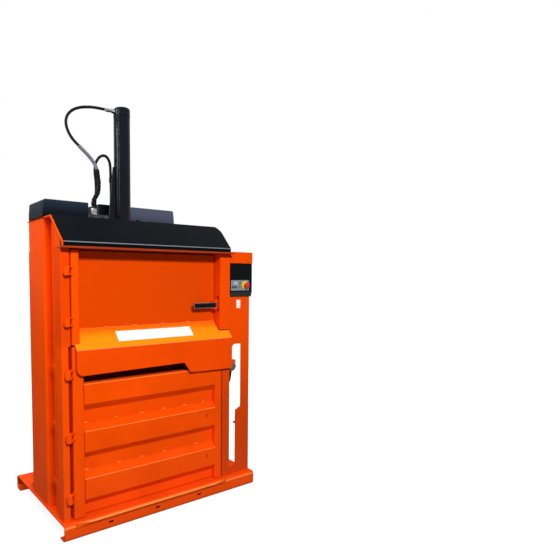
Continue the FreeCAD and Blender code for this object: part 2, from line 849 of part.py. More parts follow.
save("cylinder", fused([cylinder_tube(), cylinder_cap(), cylinder_rib()]))
save("cylinder_flange", cylinder_flange())
bolt_xs = (centre_x - flange_bolt_pitch / 2, centre_x + flange_bolt_pitch / 2)
bolt_ys = (cylinder_y - flange_bolt_pitch / 2, cylinder_y + flange_bolt_pitch / 2)
save("flange_bolts", *[hex_head(x, y, flange_top, *flange_bolt_head) for x in bolt_xs for y in bolt_ys])
save("rod_gland", rod_gland())
save("piston_rod", piston_rod())
save("platen", platen())
save("platen_guide_pads", *guide_pads())


# ---------------------------------------------------------------- power unit, valves and hoses
unit_y = column_back + rear_cover_gap + rear_cover_depth / 2


def pump_motor():
    """A finned motor lying across the head, with its feet on the bottom plate."""
    x0, y, z = rear_cover_left + 80, unit_y, head_floor_top + motor_radius + 12
    body = rod(x0, y, z, (1, 0, 0), motor_radius, motor_length)
    shroud = rod(x0 - 40, y, z, (1, 0, 0), motor_radius + 5, 40)
    foot_width, foot_pitch = motor_length * 0.15, motor_length * 0.48
    reach = motor_radius * 0.85
    feet = []
    for i in range(2):
        x1 = x0 + foot_width + i * foot_pitch
        feet.append(block(x1, x1 + foot_width, y - reach, y + reach, head_floor_top, z - motor_radius * 0.7))
    return fused([body, shroud] + feet)


def hydraulic_pump():
    x0, y, z = rear_cover_left + 80 + motor_length, unit_y, head_floor_top + motor_radius + 12
    profile = [(x0, z - 45), (x0 + 30, z - 45), (x0 + 30, z - 36), (x0 + 105, z - 36), (x0 + 105, z + 36),
               (x0 + 30, z + 36), (x0 + 30, z + 45), (x0, z + 45)]
    return prism("y", profile, y - 40, y + 40)


def oil_tank():
    t = side_cover_sheet + 20
    x0, x1 = frame_left + t, frame_left + left_cover_width - t
    y0, y1 = side_cover_front + t, side_cover_front + side_cover_depth - t
    return round_box("z", (x0, y0), (x1, y1), 12, frame_top, frame_top + side_cover_height - 24)


def valve_block():
    body = block(valve_x0, valve_x1, valve_y0, valve_y1, frame_top, valve_top)
    edges = [e for e in body.Edges if abs(e.Length - valve_height) < 0.01]
    return body.makeChamfer(valve_chamfer, edges)


def valve_cartridges():
    """Two plated cartridges across the front of the block, with hexagon heads."""
    out = []
    across, high = cartridge_head
    seat = valve_y0 - cartridge_length
    for i, x in enumerate((valve_x0 + 26, valve_x1 - 34)):
        z = frame_top + 26 + 8 * i
        barrel = rod(x, seat, z, (0, 1, 0), cartridge_radius, cartridge_length)
        cap = prism("y", [(x + a, z + b) for a, b in hexagon(across)], seat - high, seat)
        out.append(fused([barrel, cap]))
    return out


def standing_fitting(x, y, z):
    """A hose end screwed into the block: hexagon nut, neck and crimped ferrule."""
    nut = hex_head(x, y, z, *fitting_nut)
    foot, top = z + fitting_nut[1], z + fitting_rise
    profile = [(0, foot), (9, foot), (9, foot + 4), (fitting_radius, foot + 6), (fitting_radius, top - 2),
               (fitting_radius - 2, top), (0, top)]
    return fused([nut, revolved(profile, x, y)])


def top_fitting():
    """The straight hose end on the cylinder's cap, lying along x."""
    x1 = centre_x - cylinder_radius - 1
    x0 = x1 - fitting_length
    z = long_route[-1][2]
    ferrule = rod(x0, cylinder_y, z, (1, 0, 0), fitting_radius, 34)
    neck = rod(x0 + 34, cylinder_y, z, (1, 0, 0), 9, 10)
    nut = prism("x", [(cylinder_y + a, z + b) for a, b in hexagon(fitting_nut[0], 30)], x0 + 44, x1 + 12)
    whole = fused([ferrule, neck, nut])
    return whole.cut(bore(centre_x, cylinder_y, z - 40, z + 40, cylinder_radius + 1 + running))


def return_pipe():
    """A steel pipe beside the tube, from the short hose down to the lower port."""
    x, y = short_route[-1][0], short_route[-1][1]
    top = short_route[-1][2]
    z = flange_top + 34
    up = rod(x, y, z, (0, 0, 1), pipe_radius, top - 30 - z)
    ferrule = rod(x, y, top - 30, (0, 0, 1), fitting_radius - 1, 30)
    way = V(centre_x - x, cylinder_y - y, 0)
    length = way.Length
    way.normalize()
    elbow = Part.makeSphere(pipe_radius, V(x, y, z))
    stub = Part.makeCylinder(pipe_radius, length - cylinder_radius + 3, V(x, y, z), way)
    boss = Part.makeCylinder(14, 14, V(x, y, z) + way * (length - cylinder_radius - 11), way)
    whole = fused([up, ferrule, elbow, stub, boss])
    return whole.cut(bore(centre_x, cylinder_y, z - 40, z + 40, cylinder_radius + running))


def hose_path(route):
    """Straight runs joined by arcs whose radius is 0.45 of the shorter run over the half turn's tangent."""
    points = [V(*p) for p in route]
    edges, start, radii = [], points[0], []
    for i in range(1, len(points) - 1):
        into, out = points[i] - points[i - 1], points[i + 1] - points[i]
        half = into.getAngle(out) / 2
        cut = 0.45 * min(into.Length, out.Length)
        radii.append(cut / math.tan(half))
        into.normalize()
        out.normalize()
        a, b = points[i] - into * cut, points[i] + out * cut
        bisector = out - into
        bisector.normalize()
        reach = radii[-1] / math.cos(half) - radii[-1]
        edges.append(Part.LineSegment(start, a).toShape())
        edges.append(Part.Arc(a, points[i] + bisector * reach, b).toShape())
        start = b
    edges.append(Part.LineSegment(start, points[-1]).toShape())
    return Part.Wire(edges), radii


def tube(wire, radius):
    start = wire.Edges[0].Vertexes[0].Point
    along = wire.Edges[0].tangentAt(wire.Edges[0].FirstParameter)
    ring = Part.Wire([Part.Circle(start, along, radius).toShape()])
    return wire.makePipeShell([ring], True, False)


def hose(name, route):
    wire, radii = hose_path(route)
    solid = tube(wire, hose_radius)
    ideal = math.pi * hose_radius ** 2 * wire.Length
    print(name, "length", round(wire.Length), "tightest radius", round(min(radii)),
          "volume ratio", round(solid.Volume / ideal, 4))
    return solid, wire


def collar_on(wire, first, last, outer):
    """A sleeve round the hose, from the edge first to the edge last of its path."""
    part = Part.Wire(wire.Edges[first:last])
    return tube(part, outer).cut(tube(wire, hose_radius + seat_gap))


save("pump_motor", fused([pump_motor(), hydraulic_pump()]))
save("oil_tank", oil_tank())
save("valve_block", valve_block())
save("valve_cartridges", *valve_cartridges())
save("hose_fittings", standing_fitting(*long_exit, valve_top), standing_fitting(*short_exit, valve_top),
     top_fitting())
save("return_pipe", return_pipe())
long_hose, long_wire = hose("long_hose", long_route)
short_hose, short_wire = hose("short_hose", short_route)
save("long_hose", long_hose)
save("short_hose", short_hose)
save("hose_sleeve", collar_on(long_wire, *sleeve_edges, sleeve_radius))
save("grey_sleeve", collar_on(long_wire, *grey_edges, grey_radius))


# ---------------------------------------------------------------- hinges
def knuckle(z):
    """A bored barrel with a foot on the hinge post's front face."""
    h = knuckle_height / 2
    barrel = rod(hinge_x, hinge_y, z - h, (0, 0, 1), knuckle_radius, knuckle_height)
    foot = block(hinge_x - 18, wall_left - 4, hinge_y, post_front, z - h, z + h)
    return fused([barrel, foot]).cut(bore(hinge_x, hinge_y, z - h, z + h, pin_radius + running))


def leaf(z, stile_x):
    """One door leaf: a plate round the pin, its arm in front of the post and welded to the stile's side."""
    disc = rod(hinge_x, hinge_y, z, (0, 0, 1), knuckle_radius, leaf_sheet)
    near, far = hinge_y + knuckle_radius, post_front + leaf_depth
    inner = stile_x - leaf_neck
    lap = stile_x + leaf_lap
    corners = [(hinge_x, hinge_y), (hinge_x, hinge_y - knuckle_radius), (lap, post_front + 1),
               (lap, post_front + 4), (stile_x + 1, far), (inner, far), (inner, near), (hinge_x, near)]
    arm = prism("z", corners, z, z + leaf_sheet)
    return fused([disc, arm]).cut(bore(hinge_x, hinge_y, z, z + leaf_sheet, pin_radius + running))


def leaves(levels, stile_x):
    gap = knuckle_height / 2 + seat_gap
    return [leaf(z, stile_x) for level in levels for z in (level - gap - leaf_sheet, level + gap)]


def hinge_pin(z):
    foot, top = z - hinge_half - 2, z + hinge_half
    shaft = rod(hinge_x, hinge_y, foot, (0, 0, 1), pin_radius, top - foot)
    head = rod(hinge_x, hinge_y, top - seat_gap, (0, 0, 1), pin_radius + 3, 5)
    return fused([shaft, head])


save("hinge_knuckles", *[knuckle(z) for z in lower_hinges + upper_hinges])
save("hinge_pins", *[hinge_pin(z) for z in lower_hinges + upper_hinges])


# ---------------------------------------------------------------- feed door
def feed_door_panel():
    """One folded sheet: the panel, the sloped shelf, and the lip with its stepped lower edge."""
    path = [(lip_front, lip_bottom - tab_drop - 8), (lip_front, lip_top), (panel_front, shelf_top),
            (panel_front, upper_door_top)]
    whole = sheet("x", path, panel_sheet, 4.0, lip_left, lip_right)
    above = upper_door_top + 1
    whole = whole.cut(block(upper_door_right, lip_right + 1, shelf_tab_back, panel_front + 50,
                            lip_bottom, above))
    stile_right = upper_stile_left + upper_stile_width
    whole = whole.cut(block(lip_left - 1, stile_right, post_front, panel_front, lip_bottom, above))
    front = [(lip_left, lip_bottom - 8, lip_corner), (tab_start, lip_bottom + 2, 18),
             (tab_start + tab_run, lip_bottom - tab_drop, tab_corner),
             (lip_right, lip_bottom - tab_drop - 8, 6), (lip_right, above), (lip_left, above)]
    return whole.common(prism("y", front, lip_front - 2, panel_front + 50))


def channel_stile(x0, x1, y1, z0, z1, sheet_size, corner):
    """A folded stile: front face, two sides, open at the back."""
    path = [(x1, y1), (x1, post_front), (x0, post_front), (x0, y1)]
    return sheet("z", path, sheet_size, max(1.0, corner - sheet_size + 1), z0, z1)


def feed_door_stile():
    x0, x1 = upper_stile_left, upper_stile_left + upper_stile_width
    return channel_stile(x0, x1, panel_front, upper_stile_bottom, upper_door_top, stile_sheet, stile_corner)


def shelf_plate():
    """A bare pale plate on the shelf."""
    width, height, thick = plate_on_shelf
    run, rise = panel_front - lip_front, shelf_top - lip_top
    length = math.hypot(run, rise)
    u = (run / length, rise / length)
    n = (-u[1], u[0])
    start = (length - height) / 2 + 4
    a = (lip_front + u[0] * start, lip_top + u[1] * start)
    b = (a[0] + u[0] * height, a[1] + u[1] * height)
    corners = [a, b, (b[0] + n[0] * thick, b[1] + n[1] * thick), (a[0] + n[0] * thick, a[1] + n[1] * thick)]
    return prism("x", corners, plate_on_shelf_left, plate_on_shelf_left + width)


save("feed_door_panel", feed_door_panel())
save("feed_door_stile", fused([feed_door_stile()] + leaves(upper_hinges, upper_stile_left)))
save("shelf_plate", shelf_plate())


# ---------------------------------------------------------------- feed door handle
handle_low = handle_level - handle_height / 2
handle_high = handle_level + handle_height / 2
ear_low = handle_low - ear_gap - ear_sheet
ear_high = handle_high + ear_gap


def handle_bracket():
    """A folded bracket on the panel, with an ear above and below the lever."""
    x0, x1 = handle_pivot_x - 18, upper_door_right - 4
    y0, y1 = handle_pivot_y - 12, panel_front
    back = block(x0, x1, y1 - ear_sheet, y1, ear_low, ear_high + ear_sheet)
    ear = [(x0, y1 - ear_sheet), (x0, y0, 10), (x1, y0, 10), (x1, y1 - ear_sheet)]
    return fused([back] + [prism("z", ear, z, z + ear_sheet) for z in (ear_low, ear_high)])


def handle_lever():
    """A frame of flat bar round the grip, bored for the upright pin."""
    x1 = handle_pivot_x + 8
    x0 = x1 - handle_length
    y0, y1 = handle_pivot_y - handle_width / 2, handle_pivot_y + handle_width / 2
    corners = [(x0, handle_low, 5), (x1, handle_low, 3), (x1, handle_high, 3), (x0, handle_high, 5)]
    outer = prism("y", corners, y0, y1)
    t = handle_bar
    inner = block(x0 + 2 * t, x1 - 2, y0 - 1, y1 + 1, handle_low + t, handle_high - t)
    frame = outer.cut(inner)
    frame = frame.cut(block(x1 - 3, x1 + 1, y0 - 1, y1 + 1, handle_low + t, handle_high - t))
    return frame.cut(bore(handle_pivot_x, handle_pivot_y, handle_low, handle_high, handle_pin + running))


def handle_grip():
    """A black grip between the bars, with a rounded rectangular section."""
    x0 = handle_pivot_x + 8 - handle_length + 2 * handle_bar
    x1 = handle_pivot_x - handle_pin - 4
    h = handle_height / 2 - handle_bar
    y = handle_pivot_y
    r = grip_radius
    section = [(y - r, handle_level - h, 9), (y + r - 4, handle_level - h, 9),
               (y + r - 4, handle_level + h, 9), (y - r, handle_level + h, 9)]
    return prism("x", section, x0, x1)


def handle_pivot():
    foot, top = ear_low - 6, ear_high + ear_sheet + seat_gap
    shaft = rod(handle_pivot_x, handle_pivot_y, foot, (0, 0, 1), handle_pin, top - foot)
    head = rod(handle_pivot_x, handle_pivot_y, top, (0, 0, 1), handle_pin + 4, 7)
    return fused([shaft, head])


save("handle_bracket", fused([handle_bracket(), handle_pivot()]))
save("handle_lever", handle_lever())
save("handle_grip", handle_grip())


# ---------------------------------------------------------------- bale door
def bale_door_stile(left):
    if left:
        x0, x1 = lower_stile_left, lower_panel_left
    else:
        x0, x1 = lower_panel_right, lower_door_right
    y1 = post_front + lower_stile_depth
    return channel_stile(x0, x1, y1, lower_door_bottom, lower_door_top, stile_sheet, stile_corner)


def bale_door_plate():
    y0 = post_front + rib_depth
    return block(lower_panel_left, lower_panel_right, y0, y0 + door_plate,
                 lower_door_bottom, lower_panel_top)


def bale_door_beam(top, first):
    """A trapezoid beam across the door: flat front, flanks at 45 degrees back to the plate."""
    y0, y1 = post_front, post_front + rib_depth
    bottom = top - rib_flat
    if first:
        path = [(y1, top), (y0, top), (y0, bottom), (y1, bottom - rib_slope)]
    else:
        path = [(y1, top + rib_slope), (y0, top), (y0, bottom), (y1, bottom - rib_slope)]
    beam = sheet("x", path[::-1], stile_sheet, 3.0, lower_panel_left, lower_panel_right)
    beam = beam.common(block(lower_panel_left, lower_panel_right, y0, y1,
                             lower_door_bottom, lower_panel_top))
    if not first:
        z = (top + bottom) / 2 + 14
        w, h = drain_slot
        beam = beam.cut(block(drain_x - w / 2, drain_x + w / 2, y0 - 1, y0 + stile_sheet + 1,
                              z - h / 2, z + h / 2))
    return beam


save("bale_door_left_stile", fused([bale_door_stile(True)] + leaves(lower_hinges, lower_stile_left)))
save("bale_door_right_stile", bale_door_stile(False))
save("bale_door_plate", bale_door_plate())
save("bale_door_beams", *[bale_door_beam(lower_panel_top - i * rib_pitch, i == 0) for i in range(3)])


# ---------------------------------------------------------------- bale door latch
lug_front = column_plate_front - latch_lug_sheet
boss_front = lug_front - latch_boss_height
lever_front = column_plate_front + column_plate + latch_lever_gap
lever_back = lever_front + latch_lever_sheet


def latch_lug():
    """An orange lug on the latch post's right edge that carries the shaft."""
    x0, x1 = frame_right - post_corner, latch_x + latch_lug_reach
    z0, z1 = latch_level - latch_lug_reach, latch_level + latch_lug_height
    corners = [(x0, z0), (x1 - 14, z0, 8), (x1, latch_level - 12, 10), (x1, z1, 12), (x0, z1)]
    lug = prism("y", corners, lug_front, column_plate_front)
    return lug.cut(bore_through(latch_x, latch_level, lug_front, column_plate_front, latch_shaft + running))


def latch_spindle():
    """The steel shaft, with a round hand boss in front of the lug."""
    shoulder = latch_boss_height - seat_gap
    end = lever_back + 3 - boss_front
    profile = [(0, 0), (latch_boss - 4, 0, 3), (latch_boss, 5, 3), (latch_boss, shoulder, 2),
               (latch_shaft, shoulder), (latch_shaft, end), (0, end)]
    return turned_level(profile, latch_x, boss_front, latch_level)


def latch_lever():
    """A dark tapered lever behind the lug, hanging from the shaft beside the post."""
    x, top, knee = latch_x, latch_level + 10, latch_level - 26
    tip = latch_level - latch_lever_length
    corners = [(x - 10, top, 8), (x + 10, top, 8), (x + 20, knee, 12), (x + 3, tip, 4), (x - 9, tip, 4),
               (x - 14, knee, 12)]
    lever = prism("y", corners, lever_front, lever_back)
    return lever.cut(bore_through(x, latch_level, lever_front, lever_back, latch_shaft + running))


save("latch_post", fused([latch_post(), latch_lug()]))
save("latch_spindle", latch_spindle())
save("latch_lever", latch_lever())


# ---------------------------------------------------------------- control column
def control_column():
    """A tall folded plate with a long stepped slot, and a return at its right edge."""
    y0, y1 = column_plate_front, column_plate_front + column_plate
    path = [(frame_right, y0), (column_right, y0), (column_right, y0 + column_return)]
    plate = sheet("z", path[::-1], column_plate, column_bend - column_plate, base_height, arm_bottom)
    right_upper, right_lower = frame_right + slot_reach_upper, frame_right + slot_reach_lower
    left_upper, left_lower = frame_right + slot_inset_upper, frame_right + slot_inset_lower
    left_step = latch_level + 2 * latch_shaft
    slot = [(left_lower, slot_bottom), (right_lower, slot_bottom), (right_lower, slot_step - slot_rise / 2),
            (right_upper, slot_step + slot_rise / 2), (right_upper, slot_top),
            (left_upper, slot_top, slot_corner), (left_upper, left_step), (left_lower, left_step)]
    plate = plate.cut(prism("y", slot, y0 - 1, y1 + 1))
    return cut_label_holes(plate, y0, y1)


def cut_label_holes(shape, front, back):
    """Two holes at each side of the small plate."""
    left, right, high, low, radius = label_holes
    for x in (control_left + left, control_left + right):
        for z in (control_bottom - high, control_bottom - low):
            shape = shape.cut(bore_through(x, z, front, back, radius))
    return shape


def control_arm():
    """The box arm over the control box, its face flush with the latch post."""
    z0, z1 = arm_bottom, arm_bottom + arm_height
    x0, x1 = frame_right, arm_right
    outer = block(x0, x1, post_front, post_front + arm_depth, z0, z1)
    inner = block(x0 - 1, x1 - 5, post_front + 5, post_front + arm_depth + 1, z0 + 5, z1 - 5)
    return outer.cut(inner)


def stop_stud():
    """A short stud on the slot's edge, in a small block on the plate's rear face."""
    y0 = column_plate_front + column_plate
    x, y = frame_right + slot_reach_lower, y0 + 7
    return fused([rod(x - stud_length, y, stud_level, (1, 0, 0), 6, stud_length + 14),
                  block(x + 2, x + 14, y0, y + 7, stud_level - 9, stud_level + 9)])


def electric_cabinet():
    y0 = column_plate_front + column_plate
    x0, x1 = frame_right + 4, column_right - column_plate - 9
    plan = [(x0, y0), (x1, y0), (x1, y0 + cabinet_depth, 8), (x0, y0 + cabinet_depth, 8)]
    body = prism("z", plan, slot_top + 40, arm_bottom - 6)
    return cut_label_holes(body, y0, y0 + cabinet_recess - 1)


def control_cover():
    """The black cover on the plate, with its lower edge bevelled back."""
    z0, z1 = control_bottom, control_bottom + control_height
    side = [(column_plate_front, z0), (column_plate_front, z1), (control_front, z1, 3),
            (control_front, z0 + control_bevel, 3), (column_plate_front - 3, z0)]
    cover = prism("x", side, control_left, control_right)
    return cut_control_holes(cover)


key_row = strip_bottom + 25
keys = {
    "panel_lamps": [(control_left + x, key_row) for x in (12, 29, 46)],
    "green_key": [(control_left + 78, key_row + 1)],
    "blue_key": [(control_left + 84, key_row + 30)],
}


def cut_control_holes(shape):
    """Room for the stop button's stem and for each key."""
    shape = shape.cut(bore_through(stop_x, stop_level, strip_front, strip_front + 38, stop_stem + seat_gap))
    s = key_size / 2 + seat_gap
    for spots in keys.values():
        for x, z in spots:
            shape = shape.cut(block(x - s, x + s, strip_front - 1, control_front + 2.5, z - s, z + s))
    return shape


def control_panel():
    low, high = (control_left, strip_bottom), (strip_right, strip_bottom + strip_height)
    return cut_control_holes(round_box("y", low, high, 2, strip_front, control_front))


def display_window():
    x, z = control_left + 26, key_row + 18
    width, height = display_size
    return round_box("y", (x, z), (x + width, z + height), 1.5, strip_front - 1, strip_front)


def key_cap(x, z):
    s = key_size / 2
    return round_box("y", (x - s, z - s), (x + s, z + s), 2, strip_front - key_height, control_front)


def stop_collar():
    """The yellow disc behind the stop button."""
    y0, y1 = strip_front - collar_sheet, strip_front
    disc = rod(stop_x, y0, stop_level, (0, 1, 0), collar_radius, collar_sheet)
    return disc.cut(bore_through(stop_x, stop_level, y0, y1, stop_stem + seat_gap))


def stop_button():
    """A red mushroom head on its stem."""
    y1 = strip_front - collar_sheet
    face, end = -stop_height, strip_sheet + 5
    profile = [(0, face), (stop_radius - 3, face, 5), (stop_radius, face + 8, 4),
               (stop_radius - 1, face + 15, 3), (stop_stem + 2, -stop_travel - 4, 2),
               (stop_stem, -stop_travel - 1), (stop_stem, end), (0, end)]
    return turned_level(profile, stop_x, y1, stop_level)


def small_plate():
    width, height = label_size
    x, z = label_left, label_bottom
    return round_box("y", (x, z), (x + width, z + height), 3, column_plate_front - 1, column_plate_front)


save("control_column", fused([control_column(), stop_stud()]))
save("control_arm", control_arm())
save("electric_cabinet", electric_cabinet())
save("control_cover", control_cover())
save("control_panel", control_panel())
save("display_window", display_window())
save("panel_lamps", *[key_cap(x, z) for x, z in keys["panel_lamps"]])
save("green_key", key_cap(*keys["green_key"][0]))
save("blue_key", key_cap(*keys["blue_key"][0]))
save("stop_collar", stop_collar())
save("stop_button", stop_button())
save("small_plate", small_plate())
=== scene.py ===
import math

import bmesh
import bpy
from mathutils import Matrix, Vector


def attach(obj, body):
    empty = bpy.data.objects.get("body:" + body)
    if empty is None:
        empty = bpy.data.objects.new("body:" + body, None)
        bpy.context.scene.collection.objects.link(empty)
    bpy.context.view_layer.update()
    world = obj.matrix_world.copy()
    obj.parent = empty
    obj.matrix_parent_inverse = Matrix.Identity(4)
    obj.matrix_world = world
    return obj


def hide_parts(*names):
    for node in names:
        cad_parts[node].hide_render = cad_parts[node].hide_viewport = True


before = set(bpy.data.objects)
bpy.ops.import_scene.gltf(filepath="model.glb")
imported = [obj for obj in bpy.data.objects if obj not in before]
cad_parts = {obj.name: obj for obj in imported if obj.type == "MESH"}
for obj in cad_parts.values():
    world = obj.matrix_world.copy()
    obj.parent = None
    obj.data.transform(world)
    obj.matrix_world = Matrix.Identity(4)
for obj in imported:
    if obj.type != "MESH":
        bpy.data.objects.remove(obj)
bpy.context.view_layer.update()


# ------------------------------------------------------------------ measuring frame
# Places are in millimetres from the base's left front corner, x along the front, y to the rear
# and z up from the floor, as a fitter would measure the machine. at() gives them in metres in
# the shared frame, whose origin lies on the floor under the machine's middle.
middle_x = 742.0
middle_y = 451.5


def at(x, y, z):
    return Vector(((x - middle_x) / 1000, (y - middle_y) / 1000, z / 1000))


# ------------------------------------------------------------------ camera
# Eye level, to the left of the machine, turned to the right and a little down. The lens is set
# for a square picture and shifted so that the machine stands at the left of the frame.
look_down, roll, look_right = 3.604, 0.077, 34.52
camera_data = bpy.data.cameras.new("view_camera")
camera_data.lens = 31.261
camera_data.sensor_width = 36.0
camera_data.shift_x = 0.1829
camera_data.shift_y = 0.0557
camera_data.clip_end = 60.0
camera = bpy.data.objects.new("view_camera", camera_data)
bpy.context.scene.collection.objects.link(camera)
camera.location = at(-997, -2595, 1508)
camera.rotation_euler = (math.radians(90 - look_down), math.radians(roll), math.radians(-look_right))
bpy.context.scene.camera = camera
bpy.context.scene.view_settings.view_transform = "Standard"


# ------------------------------------------------------------------ hoses
# Two pressure hoses of braided nitrile rubber, crimped into their end fittings. The long one runs
# in a woven wear sleeve above the valves, then in a short spiral guard, and then free in a wide
# loop to the cylinder's cap. The short one goes over in a tight loop to the return pipe.
def linear(hex_colour):
    """An sRGB hex value as the linear colour that a shader takes."""
    parts = [int(hex_colour[i:i + 2], 16) / 255 for i in (1, 3, 5)]
    return [c / 12.92 if c <= 0.04045 else ((c + 0.055) / 1.055) ** 2.4 for c in parts] + [1.0]


def add(tree, kind, inputs=None, **settings):
    """Adds a node: settings are its properties, inputs its sockets' values or what feeds them."""
    made = tree.nodes.new(kind)
    for name, value in settings.items():
        setattr(made, name, value)
    for name, value in (inputs or {}).items():
        socket = made.inputs[name]
        if isinstance(value, bpy.types.NodeSocket):
            tree.links.new(value, socket)
        else:
            socket.default_value = value
    return made


def new_material(name):
    """An empty node material, and its tree."""
    material = bpy.data.materials.new(name)
    material.use_nodes = True
    material.node_tree.nodes.clear()
    return material, material.node_tree


def braided(name, colour, thread, depth):
    """Rubber or braid whose slanted threads, thread metres apart and depth metres high, show as a
    fine twill. Rubbed patches are a little lighter, so that the surface isn't one flat tone."""
    slant = math.radians(45)
    patch_scale = 38.0                          # patches about 26 mm across
    rubbed_gain, rubbed_lift = 1.5, 0.002
    material, tree = new_material(name)
    coordinates = add(tree, "ShaderNodeTexCoord")
    strands = []
    for turn in (slant, -slant):
        turned = add(tree, "ShaderNodeMapping", {"Vector": coordinates.outputs["UV"],
                                                 "Rotation": (0, 0, turn)})
        wave = add(tree, "ShaderNodeTexWave", {"Vector": turned.outputs[0], "Scale": 1 / thread,
                                               "Distortion": 0.6})
        strands.append(wave.outputs[1])
    threads = add(tree, "ShaderNodeMath", {0: strands[0], 1: strands[1]}, operation="MAXIMUM")
    patches = add(tree, "ShaderNodeTexNoise", {"Vector": coordinates.outputs["Object"],
                                               "Scale": patch_scale, "Detail": 4.0})
    dark = linear(colour)
    rubbed = [min(1.0, c * rubbed_gain + rubbed_lift) for c in dark[:3]] + [1.0]
    shade = add(tree, "ShaderNodeMix", {"Factor": patches.outputs[0], "A": dark, "B": rubbed},
                data_type="RGBA")
    bump = add(tree, "ShaderNodeBump", {"Strength": 0.1, "Distance": depth, "Height": threads.outputs[0]})
    skin = add(tree, "ShaderNodeBsdfPrincipled", {"Base Color": shade.outputs["Result"],
                                                  "Roughness": 0.42, "IOR": 1.52,
                                                  "Specular IOR Level": 0.06, "Normal": bump.outputs[0]})
    add(tree, "ShaderNodeOutputMaterial", {"Surface": skin.outputs[0]})
    return material


# black extruded rubber: a soft dark sheen, with the braid just printed through
hose_rubber = braided("extruded_nitrile_rubber", "#17161A", thread=0.0022, depth=0.0002)
# woven nylon: blacker and duller than the hose, with a coarser weave
sleeve_nylon = braided("woven_nylon_sleeve", "#0E0E11", thread=0.0030, depth=0.0004)
# moulded spiral: a dull mid grey against the black hose, with its turns as ridges
sleeve_spiral = braided("grey_spiral_guard", "#6A6570", thread=0.0040, depth=0.0005)

hose_radius = 0.0095
long_route = [
    (410, 452, 1996), (410, 452, 2044), (446, 450, 2098), (455, 452, 2160), (449, 454, 2222),
    (436, 456, 2280), (392, 458, 2334), (330, 460, 2384), (270, 462, 2434), (236, 464, 2492),
    (229, 466, 2554), (262, 468, 2610), (324, 469, 2646), (398, 470, 2663), (454, 470, 2668),
    (510, 470, 2668)]
short_route = [
    (440, 486, 1996), (440, 486, 2046), (452, 490, 2122), (448, 488, 2196), (440, 488, 2252),
    (446, 482, 2308), (476, 478, 2354), (524, 482, 2366), (564, 502, 2330), (582, 530, 2276),
    (582, 530, 2226)]


def plain_copy(holder):
    """What an object shows, with its modifiers, as a mesh of its own."""
    bpy.context.view_layer.update()
    return bpy.data.meshes.new_from_object(holder.evaluated_get(bpy.context.evaluated_depsgraph_get()))


def hose_line(name, route):
    """The points of the smooth line that a hose follows along its route."""
    data = bpy.data.curves.new(name, "CURVE")
    data.dimensions = "3D"
    data.resolution_u = 14
    spline = data.splines.new("NURBS")
    spline.points.add(len(route) - 1)
    for point, place in zip(spline.points, route):
        point.co = (*at(*place), 1.0)
    spline.order_u = 3
    spline.use_endpoint_u = True
    holder = bpy.data.objects.new(name, data)
    bpy.context.scene.collection.objects.link(holder)
    mesh = plain_copy(holder)
    points = [v.co.copy() for v in mesh.vertices]
    bpy.data.objects.remove(holder)
    bpy.data.meshes.remove(mesh)
    return points


def line_length(points):
    return sum((b - a).length for a, b in zip(points, points[1:]))


def tube_piece(name, points, radii, sides=24):
    """A closed tube along points, with a UV map in metres: round it and along it."""
    last = len(points) - 1
    tangents = [(points[min(last, i + 1)] - points[max(0, i - 1)]).normalized() for i in range(last + 1)]
    out = tangents[0].orthogonal().normalized()
    shape = bmesh.new()
    layer = shape.loops.layers.uv.new("UVMap")
    rings, lengths = [], []
    for i, (point, tangent, radius) in enumerate(zip(points, tangents, radii)):
        if i:
            out = (out - tangent * out.dot(tangent)).normalized()
        lengths.append(line_length(points[:i + 1]))
        across = tangent.cross(out)
        ring = []
        for k in range(sides):
            angle = 2 * math.pi * k / sides
            ring.append(shape.verts.new(point + (out * math.cos(angle) + across * math.sin(angle)) * radius))
        rings.append(ring)
    step_round = 2 * math.pi * sum(radii) / len(radii) / sides
    for i in range(last):
        for k in range(sides):
            m = (k + 1) % sides
            face = shape.faces.new((rings[i][k], rings[i][m], rings[i + 1][m], rings[i + 1][k]))
            face.smooth = True
            corners = ((k, i), (k + 1, i), (k + 1, i + 1), (k, i + 1))
            for loop, (steps, row) in zip(face.loops, corners):
                loop[layer].uv = (steps * step_round, lengths[row])
    shape.faces.new(rings[0][::-1])
    shape.faces.new(rings[-1])
    bmesh.ops.recalc_face_normals(shape, faces=shape.faces)
    mesh = bpy.data.meshes.new(name)
    shape.to_mesh(mesh)
    shape.free()
    piece = bpy.data.objects.new(name, mesh)
    bpy.context.scene.collection.objects.link(piece)
    return piece


def hang_tube(piece, material):
    """Gives a hose or a sleeve its material, and fixes it to the frame."""
    piece.data.materials.append(material)
    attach(piece, "frame")


def index_above(points, level):
    """The number of the first point higher than level."""
    return next(i for i, point in enumerate(points) if point.z > level)


long_line = hose_line("long_hose_line", long_route)
long_piece = tube_piece("pressure_hose_long", long_line, [hose_radius] * len(long_line))
hang_tube(long_piece, hose_rubber)
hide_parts("long_hose")

# the wear sleeve: slack and a little bellied, folded, and tied to the hose at two places
sleeve_foot, sleeve_top = 2.012, 2.256
sleeve_radius, sleeve_belly, sleeve_end_radius = 0.0140, 0.0022, 0.0128
sleeve_folds = ((0.0007, 1.1), (0.0006, 0.37))          # height, and turn from point to point
belly_end = 0.625                                       # this and the ties: shares of its length
tie_places, tie_depth, tie_width = (0.73, 0.4), 0.0024, 0.02
sleeve_first = index_above(long_line, sleeve_foot)
sleeve_last = index_above(long_line, sleeve_top)
sleeve_points = long_line[sleeve_first:sleeve_last]
sleeve_radii = []
for i in range(len(sleeve_points)):
    t = i / (len(sleeve_points) - 1)
    belly = sleeve_belly * math.sin(math.pi * min(1.0, t / belly_end))
    folds = sum(height * math.sin(i * turn) for height, turn in sleeve_folds)
    ties = sum(tie_depth * math.exp(-((t - place) / tie_width) ** 2) for place in tie_places)
    sleeve_radii.append(sleeve_radius + belly + folds - ties)
sleeve_radii[0] = sleeve_radii[-1] = sleeve_end_radius
